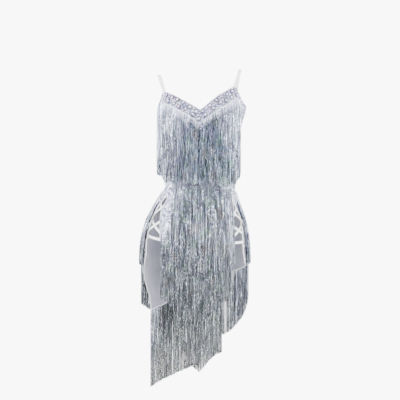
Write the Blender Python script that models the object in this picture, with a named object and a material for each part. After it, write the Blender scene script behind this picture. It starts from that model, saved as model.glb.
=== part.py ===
"""Fringed latin dance dress, standing open as it is worn, with laced hips and a slanting fringed hem.

Metres, +Z up. The front faces -Y. The origin lies midway between the crowns of the two shoulder straps.
"Left" is the -X side and "right" the +X side, as seen by someone who looks at the front.

Everything is laid out round a figure: an angle of 0 is the centre front, 90 the right side, 180 the centre
back and 270 (or -90) the left side. Angles are in degrees. Heights are negative, because they are measured
from the shoulders down. The tables below are in millimetres.
"""

import math
import random
from bisect import bisect_right
from collections import namedtuple

import bpy
from mathutils import Vector

MM = 0.001
SMOOTH_BELOW = math.radians(40)  # edges that turn less than this are shaded smooth

# ---------------------------------------------------------------- the figure that the dress is cut for
Section = namedtuple("Section", "height centre half_width front back")
FIGURE = (
    Section(-25, 4.0, 133, 58, 82),
    Section(-62, 4.0, 138, 76, 90),
    Section(-95, 5.0, 139, 88, 93),
    Section(-125, 4.5, 137, 95, 94),
    Section(-150, 2.0, 131, 96, 94),
    Section(-185, 0.0, 125, 95, 92),
    Section(-240, 0.0, 118, 90, 86),
    Section(-300, 0.0, 110, 84, 79),
    Section(-341, 0.5, 108, 82, 77),
    Section(-372, -3.0, 113, 85, 83),
    Section(-409, -8.5, 125, 92, 95),
    Section(-446, -12.0, 138, 98, 106),
    Section(-484, -14.0, 149, 102, 115),
    Section(-521, -15.5, 156, 103, 121),
    Section(-560, -16.0, 159, 102, 123),
    Section(-620, -16.0, 159, 100, 123),
    Section(-740, -16.0, 157, 98, 122),
)
ROUNDNESS = 2.2  # 2 would make each section an ellipse

Cup = namedtuple("Cup", "angle height fullness")
CUPS = (Cup(-29, -174, 25), Cup(27, -163, 25))
CUP_SPREAD_ANGLE = 15.5
CUP_SPREAD_ABOVE = 52
CUP_SPREAD_BELOW = 36

# ---------------------------------------------------------------- cloth
WALL = 1.6
SEAM_GAP = 0.4
SEAT = 0.6  # the neckline band is this far off its panel
SEWN_SEAT = 1.1  # and strips and laces are this far off theirs, which they cross in longer straight runs

# Side seams down to the top of each slit, then the edges of the slit.
SideEdge = namedtuple("SideEdge", "height front_left back_left front_right back_right")
SIDE_EDGES = (
    SideEdge(-100, -90.0, -90.0, 90.0, 90.0),
    SideEdge(-340, -66.0, -66.0, 70.0, 70.0),
    SideEdge(-384, -61.0, -61.0, 68.3, 68.3),
    SideEdge(-392, -57.8, -66.0, 68.2, 68.2),
    SideEdge(-404, -58.6, -68.8, 68.0, 68.0),
    SideEdge(-416, -60.6, -72.0, 66.0, 71.5),
    SideEdge(-428, -61.0, -74.2, 64.2, 75.0),
    SideEdge(-444, -59.4, -76.0, 62.4, 79.0),
    SideEdge(-460, -57.6, -76.8, 61.0, 79.5),
    SideEdge(-488, -54.8, -77.2, 59.4, 78.0),
    SideEdge(-521, -52.8, -76.6, 58.2, 75.6),
    SideEdge(-560, -46.0, -75.0, 53.0, 75.0),
    SideEdge(-590, -36.5, -80.0, 45.0, 80.0),
    SideEdge(-620, -34.5, -90.0, 42.5, 90.0),
    SideEdge(-660, -34.5, -103.0, 42.0, 110.0),
    SideEdge(-700, -34.5, -112.0, 42.0, 130.0),
    SideEdge(-745, -34.5, -115.0, 42.0, 139.0),
)

# Edges of the panels, across each from its left edge (0) to its right edge (1) as its angle grows.
EdgePoint = namedtuple("EdgePoint", "across height")
Panel = namedtuple("Panel", "top hem edges places levels outer inner")
FRONT_TOP = (
    EdgePoint(0.000, -127),
    EdgePoint(0.045, -112),
    EdgePoint(0.074, -103),
    EdgePoint(0.091, -95),
    EdgePoint(0.105, -83),
    EdgePoint(0.113, -67),  # left strap, outer corner
    EdgePoint(0.141, -66),  # left strap, inner corner
    EdgePoint(0.233, -80),
    EdgePoint(0.349, -99),
    EdgePoint(0.451, -118),
    EdgePoint(0.487, -125),  # foot of the V
    EdgePoint(0.582, -100),
    EdgePoint(0.674, -79),
    EdgePoint(0.757, -66),
    EdgePoint(0.841, -51),  # right strap, inner corner
    EdgePoint(0.866, -52),  # right strap, outer corner
    EdgePoint(0.874, -72),
    EdgePoint(0.887, -88),
    EdgePoint(0.911, -101),
    EdgePoint(0.950, -107),
    EdgePoint(1.000, -110),
)
FRONT_HEM = (EdgePoint(0.0, -640), EdgePoint(0.27, -668), EdgePoint(0.55, -700), EdgePoint(1.0, -618))
BACK_TOP = (
    EdgePoint(0.000, -110),
    EdgePoint(0.100, -126),
    EdgePoint(0.240, -127),  # right strap, outer corner
    EdgePoint(0.280, -127),  # right strap, inner corner
    EdgePoint(0.380, -143),
    EdgePoint(0.500, -150),
    EdgePoint(0.620, -143),
    EdgePoint(0.720, -127),  # left strap, inner corner
    EdgePoint(0.760, -127),  # left strap, outer corner
    EdgePoint(0.900, -130),
    EdgePoint(1.000, -127),
)
BACK_HEM = (
    EdgePoint(0.00, -592),
    EdgePoint(0.25, -630),
    EdgePoint(0.45, -672),
    EdgePoint(0.65, -708),
    EdgePoint(0.85, -732),
    EdgePoint(1.00, -742),
)
# Widest step between two columns of a panel, and the rows of its grid, from the top (0) to the hem (1).
FRONT_COLUMN_STEP = 0.052
FRONT_LEVELS = (0, 0.03, 0.06, 0.09, 0.12, 0.155, 0.19, 0.23, 0.27, 0.31, 0.345, 0.38, 0.415, 0.45, 0.49, 0.53,
                0.58, 0.64, 0.71, 0.79, 0.89, 1)
BACK_COLUMN_STEP = 0.05
BACK_LEVELS = (0, 0.07, 0.14, 0.21, 0.27, 0.32, 0.36, 0.40, 0.44, 0.48, 0.52, 0.57, 0.63, 0.70, 0.79, 0.89, 1)

# ---------------------------------------------------------------- stone-set band along the neckline
BAND_FROM, BAND_TO = -64.5, 64.5
BAND_EDGE = 2.0  # below the neckline's edge
BAND_DROP = (  # angle, height of the band
    (-64.5, 29),
    (-45, 27),
    (-20, 28),
    (-2, 37),
    (11, 36),
    (28, 31),
    (64.5, 31),
)
BAND_TO_FRINGE = 4.0
BAND_WALL = 1.2
STONES_ALONG = 24
STONES_DOWN = 2
STONE_HEIGHT = 2.6

# ---------------------------------------------------------------- shoulder straps and hip lacing
STRAP_WALL = 1.4
StrapPoint = namedtuple("StrapPoint", "x y height normal")
STRAP_LEFT = (  # between the front panel and the back panel
    StrapPoint(-119, -40, -38, (-0.35, -0.90, 0.25)),
    StrapPoint(-125, -25, -17, (-0.30, -0.55, 0.75)),
    StrapPoint(-127, 2, -9, (-0.22, 0.00, 1.00)),
    StrapPoint(-124, 32, -16, (-0.25, 0.50, 0.80)),
    StrapPoint(-116, 58, -42, (-0.30, 0.90, 0.35)),
    StrapPoint(-105, 73, -84, (-0.35, 0.93, 0.12)),
)
STRAP_RIGHT = (
    StrapPoint(117, -34, -18, (0.35, -0.88, 0.30)),
    StrapPoint(122, -18, 1, (0.28, -0.50, 0.80)),
    StrapPoint(125, 6, 9, (0.20, 0.00, 1.00)),
    StrapPoint(123, 34, 1, (0.25, 0.50, 0.80)),
    StrapPoint(118, 58, -25, (0.30, 0.90, 0.35)),
    StrapPoint(110, 74, -78, (0.35, 0.93, 0.12)),
)
STRAP_WIDTH = 9
STATIONS_PER_SPAN = 3
StrapFoot = namedtuple("StrapFoot", "outer inner")  # where a strap's two corners stand across a panel's top
FOOT_FRONT_LEFT = StrapFoot(0.113, 0.141)
FOOT_FRONT_RIGHT = StrapFoot(0.866, 0.841)
FOOT_BACK_LEFT = StrapFoot(0.760, 0.720)
FOOT_BACK_RIGHT = StrapFoot(0.240, 0.280)

LACE_WIDTH = 8.0
LACE_WALL = 1.2
LACE_TUCK = 3.2  # degrees that each end lies behind its panel
LACE_STEPS = 5
Lace = namedtuple("Lace", "name front_height back_height under")
LEFT_LACES = (
    Lace("lace_left_1", -408, -440, False),
    Lace("lace_left_2", -439, -405, True),
    Lace("lace_left_3", -457, -491, False),
    Lace("lace_left_4", -503, -453, True),
    Lace("lace_left_5", -519, -504, False),
)
RIGHT_LACES = (
    Lace("lace_right_1", -430, -457, False),
    Lace("lace_right_2", -460, -421, True),
    Lace("lace_right_3", -475, -500, False),
    Lace("lace_right_4", -514, -472, True),
    Lace("lace_right_5", -528, -525, False),
)

# ---------------------------------------------------------------- fringe
STRIP_HEIGHT = 8.0
STRIP_WALL = 2.0
LOCK_WALL = 2.2
LOCK_GAP = 1.3
LOCK_TIP = 0.72  # width at the tip, as a share of the width at the root
LOCK_TIP_WALL = 0.7  # and its thickness there
LENGTH_SPREAD = 8.0
NO_BEND_NEAR_ROOT = 10.0
NO_BEND_NEAR_TIP = 20.0
HANG_STEP = 6.0
SHORT_DROP = 16.0
HANG_DIP = 0.6  # how far a straight run may come closer than its clearance between two bends
LIFT = 0.14  # how fast a lock moves off the cloth below its root
ROOT_SAMPLES = 400
# clear of the surface on both sides of it, whichever way a lock falls, and how often that span is halved
NEAREST_REACH, FARTHEST_REACH, REACH_HALVINGS = -40.0, 160.0, 18
# clearance is how far the locks hang off the figure, so that each row passes over the one below it.
# forward turns the locks' fall from straight out (0) to straight forward (1).
# bends are the heights where the locks may bend on their way down.
FringeRow = namedtuple("FringeRow", "name locks clearance forward bends root hem")
OVER_BUST = (-112, -128, -146, -166, -195)
OVER_HIP = (-372, -409, -446, -484, -521, -560, -598)
BELOW_HIP = (-660, -740)
FRINGE = (
    FringeRow(
        "fringe_bust_front", 38, 2.6, 0.0, OVER_BUST,
        ((-84.5, -150), (-79, -132), (-72, -113)),
        ((-84, -314), (-68, -322), (-63, -343), (0, -349), (55, -356), (58, -335), (65, -327)),
    ),
    FringeRow(
        "fringe_bust_back", 27, 2.6, 0.0, OVER_BUST,
        ((110, -146), (140, -142), (180, -164), (220, -142), (245, -146), (273.5, -153)),
        ((110, -329), (180, -340), (273, -316)),
    ),
    FringeRow(
        "fringe_waist_front", 20, 12.0, 0.7, OVER_HIP,
        ((-52, -329), (0, -337), (62, -334)),
        ((-52, -580), (-30, -612), (8, -642), (35, -618), (62, -588)),
    ),
    FringeRow(
        "fringe_waist_back", 32, 12.3, 0.0, OVER_HIP,
        ((79, -394), (95, -372), (130, -352), (180, -346), (230, -350), (262, -368), (284, -394)),
        ((71, -583), (120, -600), (180, -615), (240, -600), (288, -590)),
    ),
    FringeRow(
        "fringe_hip_front", 22, 5.8, 0.4, OVER_HIP,
        ((-53.3, -450), (-30, -487), (8, -540), (39, -474), (55.5, -448)),
        ((-53, -692), (-43, -703), (-35, -722), (-31, -738), (3, -776), (36, -722), (40, -706), (55, -690)),
    ),
    FringeRow(
        "fringe_hip_back", 40, 5.8, 0.0, OVER_HIP,
        ((81.5, -456), (100, -500), (140, -530), (180, -520), (230, -488), (281.5, -466)),
        ((76, -686), (90, -690), (100, -722), (115, -770), (131, -812), (148, -838), (180, -822), (230, -760),
         (262, -718), (284, -713)),
    ),
    FringeRow(
        "fringe_hem_front", 13, 1.6, 0.4, BELOW_HIP,
        ((-33, -618), (8, -678), (40, -606)),
        ((-33, -857), (8, -914), (40, -844)),
    ),
    FringeRow(
        "fringe_hem_back", 24, 1.6, 0.0, BELOW_HIP,
        ((142, -592), (166, -633), (187, -666), (212, -696), (244, -716)),
        ((142, -882), (187, -930), (244, -985)),
    ),
)

# ---------------------------------------------------------------- finishes: colour, roughness, metallic
Finish = namedtuple("Finish", "name colour roughness metallic")
SPARKLE_CLOTH = Finish("sparkle_cloth", (0.86, 0.86, 0.92), 0.45, 0.35)
STONE_BAND = Finish("stone_band", (0.80, 0.80, 0.88), 0.15, 0.60)
ELASTIC = Finish("white_elastic", (0.90, 0.92, 0.93), 0.55, 0.0)
TINSEL = Finish("silver_tinsel", (0.62, 0.64, 0.69), 0.30, 0.90)


def read_table(rows, at):
    """The value of a table of (at, value) pairs, on straight lines between its rows."""
    keys = [row[0] for row in rows]
    after = min(max(bisect_right(keys, at), 1), len(rows) - 1)
    (start, low), (end, high) = rows[after - 1], rows[after]
    share = min(max((at - start) / (end - start), 0.0), 1.0)
    return low + (high - low) * share


def read_smooth(rows, at, column):
    """The value of a table's column on a smooth curve through its rows, which run downwards."""
    keys = [-row[0] for row in rows]
    last = len(rows) - 1
    after = min(max(bisect_right(keys, -at), 1), last)
    share = min(max((-at - keys[after - 1]) / (keys[after] - keys[after - 1]), 0.0), 1.0)

    def slope(index):
        low, high = max(index - 1, 0), min(index + 1, last)
        return (rows[high][column] - rows[low][column]) / (keys[high] - keys[low])

    span = keys[after] - keys[after - 1]
    start, end = rows[after - 1][column], rows[after][column]
    square, cube = share**2, share**3
    return (
        (2 * cube - 3 * square + 1) * start
        + (cube - 2 * square + share) * span * slope(after - 1)
        + (3 * square - 2 * cube) * end
        + (cube - square) * span * slope(after)
    )


def edge_angle(height, column):
    """Angle of a panel's side edge at a height."""
    index = SideEdge._fields.index(column)
    rows = [(-edge.height, edge[index]) for edge in SIDE_EDGES]
    return read_table(rows, -height)


def ring_radius(angle, height):
    """Distance from the figure's axis to its surface, in mm."""
    half_width = read_smooth(FIGURE, height, 2)
    depth = read_smooth(FIGURE, height, 3 if math.cos(math.radians(angle)) > 0 else 4)
    across = abs(math.sin(math.radians(angle))) / half_width
    along = abs(math.cos(math.radians(angle))) / depth
    radius = (across**ROUNDNESS + along**ROUNDNESS) ** (-1 / ROUNDNESS)
    turned = (angle + 180) % 360 - 180
    for cup in CUPS:
        spread = CUP_SPREAD_ABOVE if height > cup.height else CUP_SPREAD_BELOW
        away = ((turned - cup.angle) / CUP_SPREAD_ANGLE) ** 2 + ((height - cup.height) / spread) ** 2
        radius += cup.fullness * math.exp(-away / 2)
    return radius


def surface(angle, height):
    radius = ring_radius(angle, height)
    turn = math.radians(angle)
    return Vector((read_smooth(FIGURE, height, 1) + radius * math.sin(turn), -radius * math.cos(turn), height))


def outward(angle, height):
    """Unit normal of the figure's surface."""
    sideways = surface(angle + 0.5, height) - surface(angle - 0.5, height)
    upwards = surface(angle, height + 1) - surface(angle, height - 1)
    return sideways.cross(upwards).normalized()


def off_figure(angle, height, out):
    """A point that lies `out` mm outside the figure's surface."""
    return surface(angle, height) + outward(angle, height) * out


def reach(start, direction, height):
    """How far from `start`, along a level direction, the figure's surface lies at this height."""
    centre = read_smooth(FIGURE, height, 1)
    near, far = NEAREST_REACH, FARTHEST_REACH
    for _ in range(REACH_HALVINGS):
        middle = (near + far) / 2
        x = start.x + direction.x * middle - centre
        y = start.y + direction.y * middle
        if math.hypot(x, y) < ring_radius(math.degrees(math.atan2(x, -y)), height):
            near = middle
        else:
            far = middle
    return far


def material(finish):
    found = bpy.data.materials.get(finish.name)
    if found:
        return found
    made = bpy.data.materials.new(finish.name)
    made.use_nodes = True
    shader = made.node_tree.nodes["Principled BSDF"]
    shader.inputs["Base Color"].default_value = (*finish.colour, 1.0)
    shader.inputs["Roughness"].default_value = finish.roughness
    shader.inputs["Metallic"].default_value = finish.metallic
    made.diffuse_color = (*finish.colour, 1.0)
    return made


def add_object(name, points, faces, finish, smooth=True):
    mesh = bpy.data.meshes.new(name)
    mesh.from_pydata([point * MM for point in points], [], faces)
    mesh.validate()
    if smooth:
        mesh.shade_smooth()
        mesh.set_sharp_from_angle(angle=SMOOTH_BELOW)
    mesh.materials.append(material(finish))
    made = bpy.data.objects.new(name, mesh)
    bpy.context.scene.collection.objects.link(made)
    return made


def add_wall(name, outer, inner, finish):
    """A closed wall between two grids of points, [row][column], rows running down."""
    rows, columns = len(outer), len(outer[0])
    points = [point for row in outer for point in row] + [point for row in inner for point in row]

    def at(side, row, column):
        return side * rows * columns + row * columns + column

    faces = []
    for r in range(rows - 1):
        for c in range(columns - 1):
            faces.append((at(0, r, c), at(0, r + 1, c), at(0, r + 1, c + 1)))
            faces.append((at(0, r, c), at(0, r + 1, c + 1), at(0, r, c + 1)))
            faces.append((at(1, r, c), at(1, r + 1, c + 1), at(1, r + 1, c)))
            faces.append((at(1, r, c), at(1, r, c + 1), at(1, r + 1, c + 1)))
    rim = [(0, c) for c in range(columns)]
    rim += [(r, columns - 1) for r in range(1, rows)]
    rim += [(rows - 1, c) for c in range(columns - 2, -1, -1)]
    rim += [(r, 0) for r in range(rows - 2, 0, -1)]
    for here, there in zip(rim, rim[1:] + rim[:1]):
        faces.append((at(0, *here), at(0, *there), at(1, *there), at(1, *here)))
    return add_object(name, points, faces, finish)


def columns_of(edge, widest):
    """Places across a panel, with every corner of its top edge among them."""
    places = [edge[0].across]
    for start, end in zip(edge, edge[1:]):
        count = max(1, math.ceil((end.across - start.across) / widest))
        places += [start.across + (end.across - start.across) * n / count for n in range(1, count + 1)]
    return places


def panel_grid(top, hem, edges, places, levels):
    """(angle, height) of each point of a panel. Its side edges keep a seam's gap."""
    grid = []
    for level in levels:
        line = []
        for across in places:
            upper, lower = read_table(top, across), read_table(hem, across)
            height = upper + (lower - upper) * level
            start, end = edges(height)
            inset = math.degrees(SEAM_GAP / 2 / ring_radius(start, height))
            line.append((start + inset + (end - start - 2 * inset) * across, height))
        grid.append(line)
    return grid


def front_edges(height):
    return edge_angle(height, "front_left"), edge_angle(height, "front_right")


def back_edges(height):
    return edge_angle(height, "back_right"), 360 + edge_angle(height, "back_left")


def lay_out_panel(top, hem, edges, widest, levels):
    places = columns_of(top, widest)
    grid = panel_grid(top, hem, edges, places, levels)
    outer = [[off_figure(angle, height, 0.0) for angle, height in line] for line in grid]
    inner = [[off_figure(angle, height, -WALL) for angle, height in line] for line in grid]
    return Panel(top, hem, edges, places, levels, outer, inner)


def place_between(marks, at):
    """(index, share) of a value between the marks around it."""
    index = min(max(bisect_right(marks, at), 1), len(marks) - 1) - 1
    return index, (at - marks[index]) / (marks[index + 1] - marks[index])


def on_panel(panel, angle, height, out):
    """A point `out` mm off a panel's own outer side, or, below 0, off its inner side."""
    start, end = panel.edges(height)
    across = min(max((angle - start) / (end - start), 0.0), 1.0)
    upper, lower = read_table(panel.top, across), read_table(panel.hem, across)
    down = min(max((height - upper) / (lower - upper), 0.0), 1.0)
    column, right = place_between(panel.places, across)
    row, lower_share = place_between(panel.levels, down)
    side = panel.outer if out > 0 else panel.inner
    corner, opposite = side[row][column], side[row + 1][column + 1]
    if lower_share > right:
        below = side[row + 1][column]
        point = corner + (below - corner) * lower_share + (opposite - below) * right
    else:
        beside = side[row][column + 1]
        point = corner + (beside - corner) * right + (opposite - beside) * lower_share
    return point + outward(angle, height) * out


def neckline_height(angle):
    start, end = front_edges(-110)
    return read_table(FRONT_TOP, (angle - start) / (end - start))


def band_foot(angle):
    return neckline_height(angle) - BAND_EDGE - read_table(BAND_DROP, angle)


def add_neckline_band(panel):
    """A shaped band on the front panel, whose outer points rise to a stone in the middle of each cell."""
    outer, inner = [], []
    steps_along, steps_down = 2 * STONES_ALONG, 2 * STONES_DOWN
    for r in range(steps_down + 1):
        outer_line, inner_line = [], []
        for c in range(steps_along + 1):
            angle = BAND_FROM + (BAND_TO - BAND_FROM) * c / steps_along
            top = neckline_height(angle) - BAND_EDGE
            height = top - read_table(BAND_DROP, angle) * r / steps_down
            stone = STONE_HEIGHT if r % 2 and c % 2 else 0.0
            outer_line.append(on_panel(panel, angle, height, SEAT + BAND_WALL + stone))
            inner_line.append(on_panel(panel, angle, height, SEAT))
        outer.append(outer_line)
        inner.append(inner_line)
    return add_wall("neckline_band", outer, inner, STONE_BAND)


def add_ribbon(name, stations, width, thickness, finish):
    """A flat band through (centre, across, normal) stations, with square ends."""
    points = []
    for centre, across, normal in stations:
        side, rise = across.normalized() * width / 2, normal.normalized() * thickness / 2
        points += [centre - side + rise, centre + side + rise, centre + side - rise, centre - side - rise]
    faces = []
    for n in range(len(stations) - 1):
        here, there = 4 * n, 4 * n + 4
        for k in range(4):
            after = (k + 1) % 4
            faces.append((here + k, here + after, there + after, there + k))
    last = 4 * (len(stations) - 1)
    faces += [(3, 2, 1, 0), (last, last + 1, last + 2, last + 3)]
    tangent = stations[1][0] - stations[0][0]
    first = stations[0]
    if first[1].cross(first[2]).dot(tangent) > 0:
        faces = [tuple(reversed(face)) for face in faces]
    return add_object(name, points, faces, finish)


def smooth_path(points, per_span):
    """Points on a smooth curve through the given vectors, the given ones among them."""
    padded = [2 * points[0] - points[1], *points, 2 * points[-1] - points[-2]]
    path = []
    for p0, p1, p2, p3 in zip(padded, padded[1:], padded[2:], padded[3:]):
        for n in range(per_span):
            t = n / per_span
            path.append(
                0.5 * (2 * p1 + (p2 - p0) * t + (2 * p0 - 5 * p1 + 4 * p2 - p3) * t**2
                       + (3 * p1 - p0 - 3 * p2 + p3) * t**3)
            )
    return [*path, points[-1]]


def panel_corner(edges, top, foot):
    """(middle, direction along the edge, normal) of the short level edge that a strap is sewn to."""
    corners = []
    for across in foot:
        height = read_table(top, across)
        start, end = edges(height)
        corners.append(off_figure(start + (end - start) * across, height, -WALL / 2))
    start, end = edges(read_table(top, foot.outer))
    angle = start + (end - start) * (foot.outer + foot.inner) / 2
    middle = (corners[0] + corners[1]) / 2 + Vector((0, 0, SEAT))
    return middle, corners[1] - corners[0], outward(angle, middle.z)


def add_strap(name, front_corner, back_corner, over_shoulder):
    front_middle, front_across, front_normal = front_corner
    back_middle, back_across, back_normal = back_corner
    places = [front_middle, *(Vector((p.x, p.y, p.height)) for p in over_shoulder), back_middle]
    normals = [front_normal, *(Vector(p.normal) for p in over_shoulder), back_normal]
    path = smooth_path(places, STATIONS_PER_SPAN)
    facing = smooth_path(normals, STATIONS_PER_SPAN)
    stations = []
    for n, (centre, normal) in enumerate(zip(path, facing)):
        tangent = path[min(n + 1, len(path) - 1)] - path[max(n - 1, 0)]
        across = normal.cross(tangent).normalized()
        stations.append((centre, across, normal))
    turn = 1 if stations[0][1].dot(front_across) > 0 else -1
    stations[0] = (front_middle, front_across * turn, front_normal)
    turn = 1 if stations[-1][1].dot(back_across) > 0 else -1
    stations[-1] = (back_middle, back_across * turn, back_normal)
    return add_ribbon(name, stations, STRAP_WIDTH, STRAP_WALL, ELASTIC)


def add_lace(lace, front, back, front_column, back_column, side):
    """A flat elastic from behind one edge of a slit to behind the other. `side` is -1 on the left."""
    front_angle = edge_angle(lace.front_height, front_column) - side * LACE_TUCK
    back_angle = edge_angle(lace.back_height, back_column) + side * LACE_TUCK
    under_wall = SEWN_SEAT + LACE_WALL / 2
    dip = LACE_WALL + SEAT if lace.under else 0.0
    stations = []
    for n in range(LACE_STEPS + 1):
        share = n / LACE_STEPS
        angle = front_angle + (back_angle - front_angle) * share
        height = lace.front_height + (lace.back_height - lace.front_height) * share
        normal = outward(angle, height)
        centre = surface(angle, height) - normal * (WALL + under_wall)
        if n == 0:
            centre = on_panel(front, angle, height, -under_wall)
        if n == LACE_STEPS:
            centre = on_panel(back, angle % 360 if side > 0 else angle + 360, height, -under_wall)
        stations.append((centre - normal * dip * math.sin(math.pi * share) ** 0.5, normal))
    run = stations[-1][0] - stations[0][0]
    made = [(centre, normal.cross(run).normalized(), normal) for centre, normal in stations]
    return add_ribbon(lace.name, made, LACE_WIDTH, LACE_WALL, ELASTIC)


def root_under_band(row):
    """The root line of the bust fringe: down beside the left armhole, then just under the neckline band."""
    steps = [BAND_FROM + (BAND_TO - BAND_FROM) * n / STONES_ALONG for n in range(STONES_ALONG + 1)]
    under = [(angle, band_foot(angle) - BAND_TO_FRINGE) for angle in steps]
    return row._replace(root=(*row.root, *under))


def strip_angles(row):
    """Angles of each lock's two sides, at even distances along the row's root line."""
    first, last = row.root[0][0], row.root[-1][0]
    angles = [first + (last - first) * n / ROOT_SAMPLES for n in range(ROOT_SAMPLES + 1)]
    lengths = [0.0]
    for before, after in zip(angles, angles[1:]):
        step = surface(after, read_table(row.root, after)) - surface(before, read_table(row.root, before))
        lengths.append(lengths[-1] + step.length)
    along = list(zip(lengths, angles))
    pitch = lengths[-1] / row.locks
    sides = []
    for lock in range(row.locks):
        sides.append(read_table(along, lock * pitch + LOCK_GAP / 2))
        sides.append(read_table(along, (lock + 1) * pitch - LOCK_GAP / 2))
    return sides


def fall_direction(row, angle):
    turn = math.radians((1 - row.forward) * angle)
    return Vector((math.sin(turn), -math.cos(turn), 0))


def hang(start, direction, clearance, heights):
    """Inner points of a lock's side, straight from one height to the next, which falls from `start`.

    It only ever moves outwards, comes to its clearance gradually, and clears all that it passes.
    """
    out, height, points = 0.0, start.z, []
    for target in heights:
        run, steps = height - target, max(1, round((height - target) / HANG_STEP))
        slope = 0.0
        for n in range(1, steps + 1):
            drop = run * n / steps
            off = min(clearance, SEWN_SEAT + (start.z - height + drop) * LIFT)
            dip = HANG_DIP if n < steps else 0.0
            rise = reach(start, direction, height - drop) + off - dip - out
            slope = max(slope, rise / max(drop, SHORT_DROP))
        out, height = out + slope * run, target
        points.append(Vector((start.x, start.y, target)) + direction * out)
    return points


def add_fringe(row, panel, seed):
    """A strip sewn to a panel, with the locks' roots fused into its lower edge."""
    dice = random.Random(seed)
    angles = strip_angles(row)
    points, faces = [], []
    for angle in angles:
        top = read_table(row.root, angle)
        foot = top - STRIP_HEIGHT
        thick = SEWN_SEAT + STRIP_WALL
        points += [
            on_panel(panel, angle, top, thick),
            on_panel(panel, angle, foot, thick),
            on_panel(panel, angle, foot, SEWN_SEAT),
            on_panel(panel, angle, top, SEWN_SEAT),
        ]
    for n in range(len(angles) - 1):
        here, there = 4 * n, 4 * n + 4
        faces.append((here, here + 1, there + 1, there))
        faces.append((here + 3, there + 3, there + 2, here + 2))
        faces.append((here, there, there + 3, here + 3))
        if n % 2:
            faces.append((here + 1, here + 2, there + 2, there + 1))
    last = 4 * (len(angles) - 1)
    faces += [(0, 3, 2, 1), (last, last + 1, last + 2, last + 3)]

    for lock in range(row.locks):
        left, right = 8 * lock, 8 * lock + 4
        middle = (angles[2 * lock] + angles[2 * lock + 1]) / 2
        left_fall, right_fall = fall_direction(row, angles[2 * lock]), fall_direction(row, angles[2 * lock + 1])
        root = (points[left + 2].z + points[right + 2].z) / 2
        tip = read_table(row.hem, middle) + dice.uniform(-0.5, 0.5) * LENGTH_SPREAD
        heights = [bend for bend in row.bends if tip + NO_BEND_NEAR_TIP < bend < root - NO_BEND_NEAR_ROOT]
        heights.append(tip)
        left_side = hang(points[left + 2], left_fall, row.clearance, heights)
        right_side = hang(points[right + 2], right_fall, row.clearance, heights)
        ring = (left + 1, right + 1, right + 2, left + 2)
        for height, inner_left, inner_right in zip(heights, left_side, right_side):
            drop = (root - height) / (root - tip)
            narrowing = (1 - (1 - LOCK_TIP) * drop**2) / 2
            centre, half = (inner_left + inner_right) / 2, (inner_right - inner_left) * narrowing
            thickness = (left_fall + right_fall).normalized() * LOCK_WALL * (1 - (1 - LOCK_TIP_WALL) * drop)
            below = len(points)
            points += [centre - half + thickness, centre + half + thickness, centre + half, centre - half]
            for k in range(4):
                after = (k + 1) % 4
                faces.append((ring[k], below + k, below + after, ring[after]))
            ring = (below, below + 1, below + 2, below + 3)
        faces.append(tuple(reversed(ring)))
    return add_object(row.name, points, faces, TINSEL, smooth=False)


def build():
    for thing in list(bpy.data.objects):
        bpy.data.objects.remove(thing)
    front = lay_out_panel(FRONT_TOP, FRONT_HEM, front_edges, FRONT_COLUMN_STEP, FRONT_LEVELS)
    back = lay_out_panel(BACK_TOP, BACK_HEM, back_edges, BACK_COLUMN_STEP, BACK_LEVELS)
    add_wall("front_panel", front.outer, front.inner, SPARKLE_CLOTH)
    add_wall("back_panel", back.outer, back.inner, SPARKLE_CLOTH)
    add_neckline_band(front)
    add_strap(
        "strap_left",
        panel_corner(front_edges, FRONT_TOP, FOOT_FRONT_LEFT),
        panel_corner(back_edges, BACK_TOP, FOOT_BACK_LEFT),
        STRAP_LEFT,
    )
    add_strap(
        "strap_right",
        panel_corner(front_edges, FRONT_TOP, FOOT_FRONT_RIGHT),
        panel_corner(back_edges, BACK_TOP, FOOT_BACK_RIGHT),
        STRAP_RIGHT,
    )
    for lace in LEFT_LACES:
        add_lace(lace, front, back, "front_left", "back_left", -1)
    for lace in RIGHT_LACES:
        add_lace(lace, front, back, "front_right", "back_right", 1)
    for seed, row in enumerate(FRINGE):
        if row.name == "fringe_bust_front":
            row = root_under_band(row)
        add_fringe(row, back if row.name.endswith("back") else front, seed)


build()
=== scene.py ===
"""Looks of a fringed latin dance dress: sequinned panels, a stone-set neckline, laced hips, tiers of tinsel.

Everything is laid out round a figure. An angle of 0 is the centre front, 90 the right side as one looks at
the front, 180 the centre back and 270 (or -90) the left side, all in degrees. The tables are in millimetres,
and their heights run down from the shoulders. Grids of points are arrays with a row for each height.
"""

import math
from collections import namedtuple

import bmesh
import bpy
import numpy as np
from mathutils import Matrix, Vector


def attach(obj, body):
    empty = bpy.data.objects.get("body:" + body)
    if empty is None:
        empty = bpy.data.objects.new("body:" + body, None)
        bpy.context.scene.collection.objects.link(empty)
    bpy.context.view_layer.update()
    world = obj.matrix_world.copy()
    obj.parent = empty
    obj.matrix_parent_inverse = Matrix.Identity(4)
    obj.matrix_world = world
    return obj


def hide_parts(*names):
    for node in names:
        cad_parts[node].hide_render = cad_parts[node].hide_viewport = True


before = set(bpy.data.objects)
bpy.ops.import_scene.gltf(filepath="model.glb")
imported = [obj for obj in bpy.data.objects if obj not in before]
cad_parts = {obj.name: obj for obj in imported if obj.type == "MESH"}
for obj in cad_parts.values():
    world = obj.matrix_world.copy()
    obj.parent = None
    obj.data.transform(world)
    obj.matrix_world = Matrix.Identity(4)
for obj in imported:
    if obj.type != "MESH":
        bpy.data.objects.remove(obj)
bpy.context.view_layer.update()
BODY = "root"
MM = 0.001


def table(header, *rows):
    """Rows of numbers whose columns are read by name."""
    return namedtuple("Table", header)(*np.array(rows, float).T)


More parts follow.
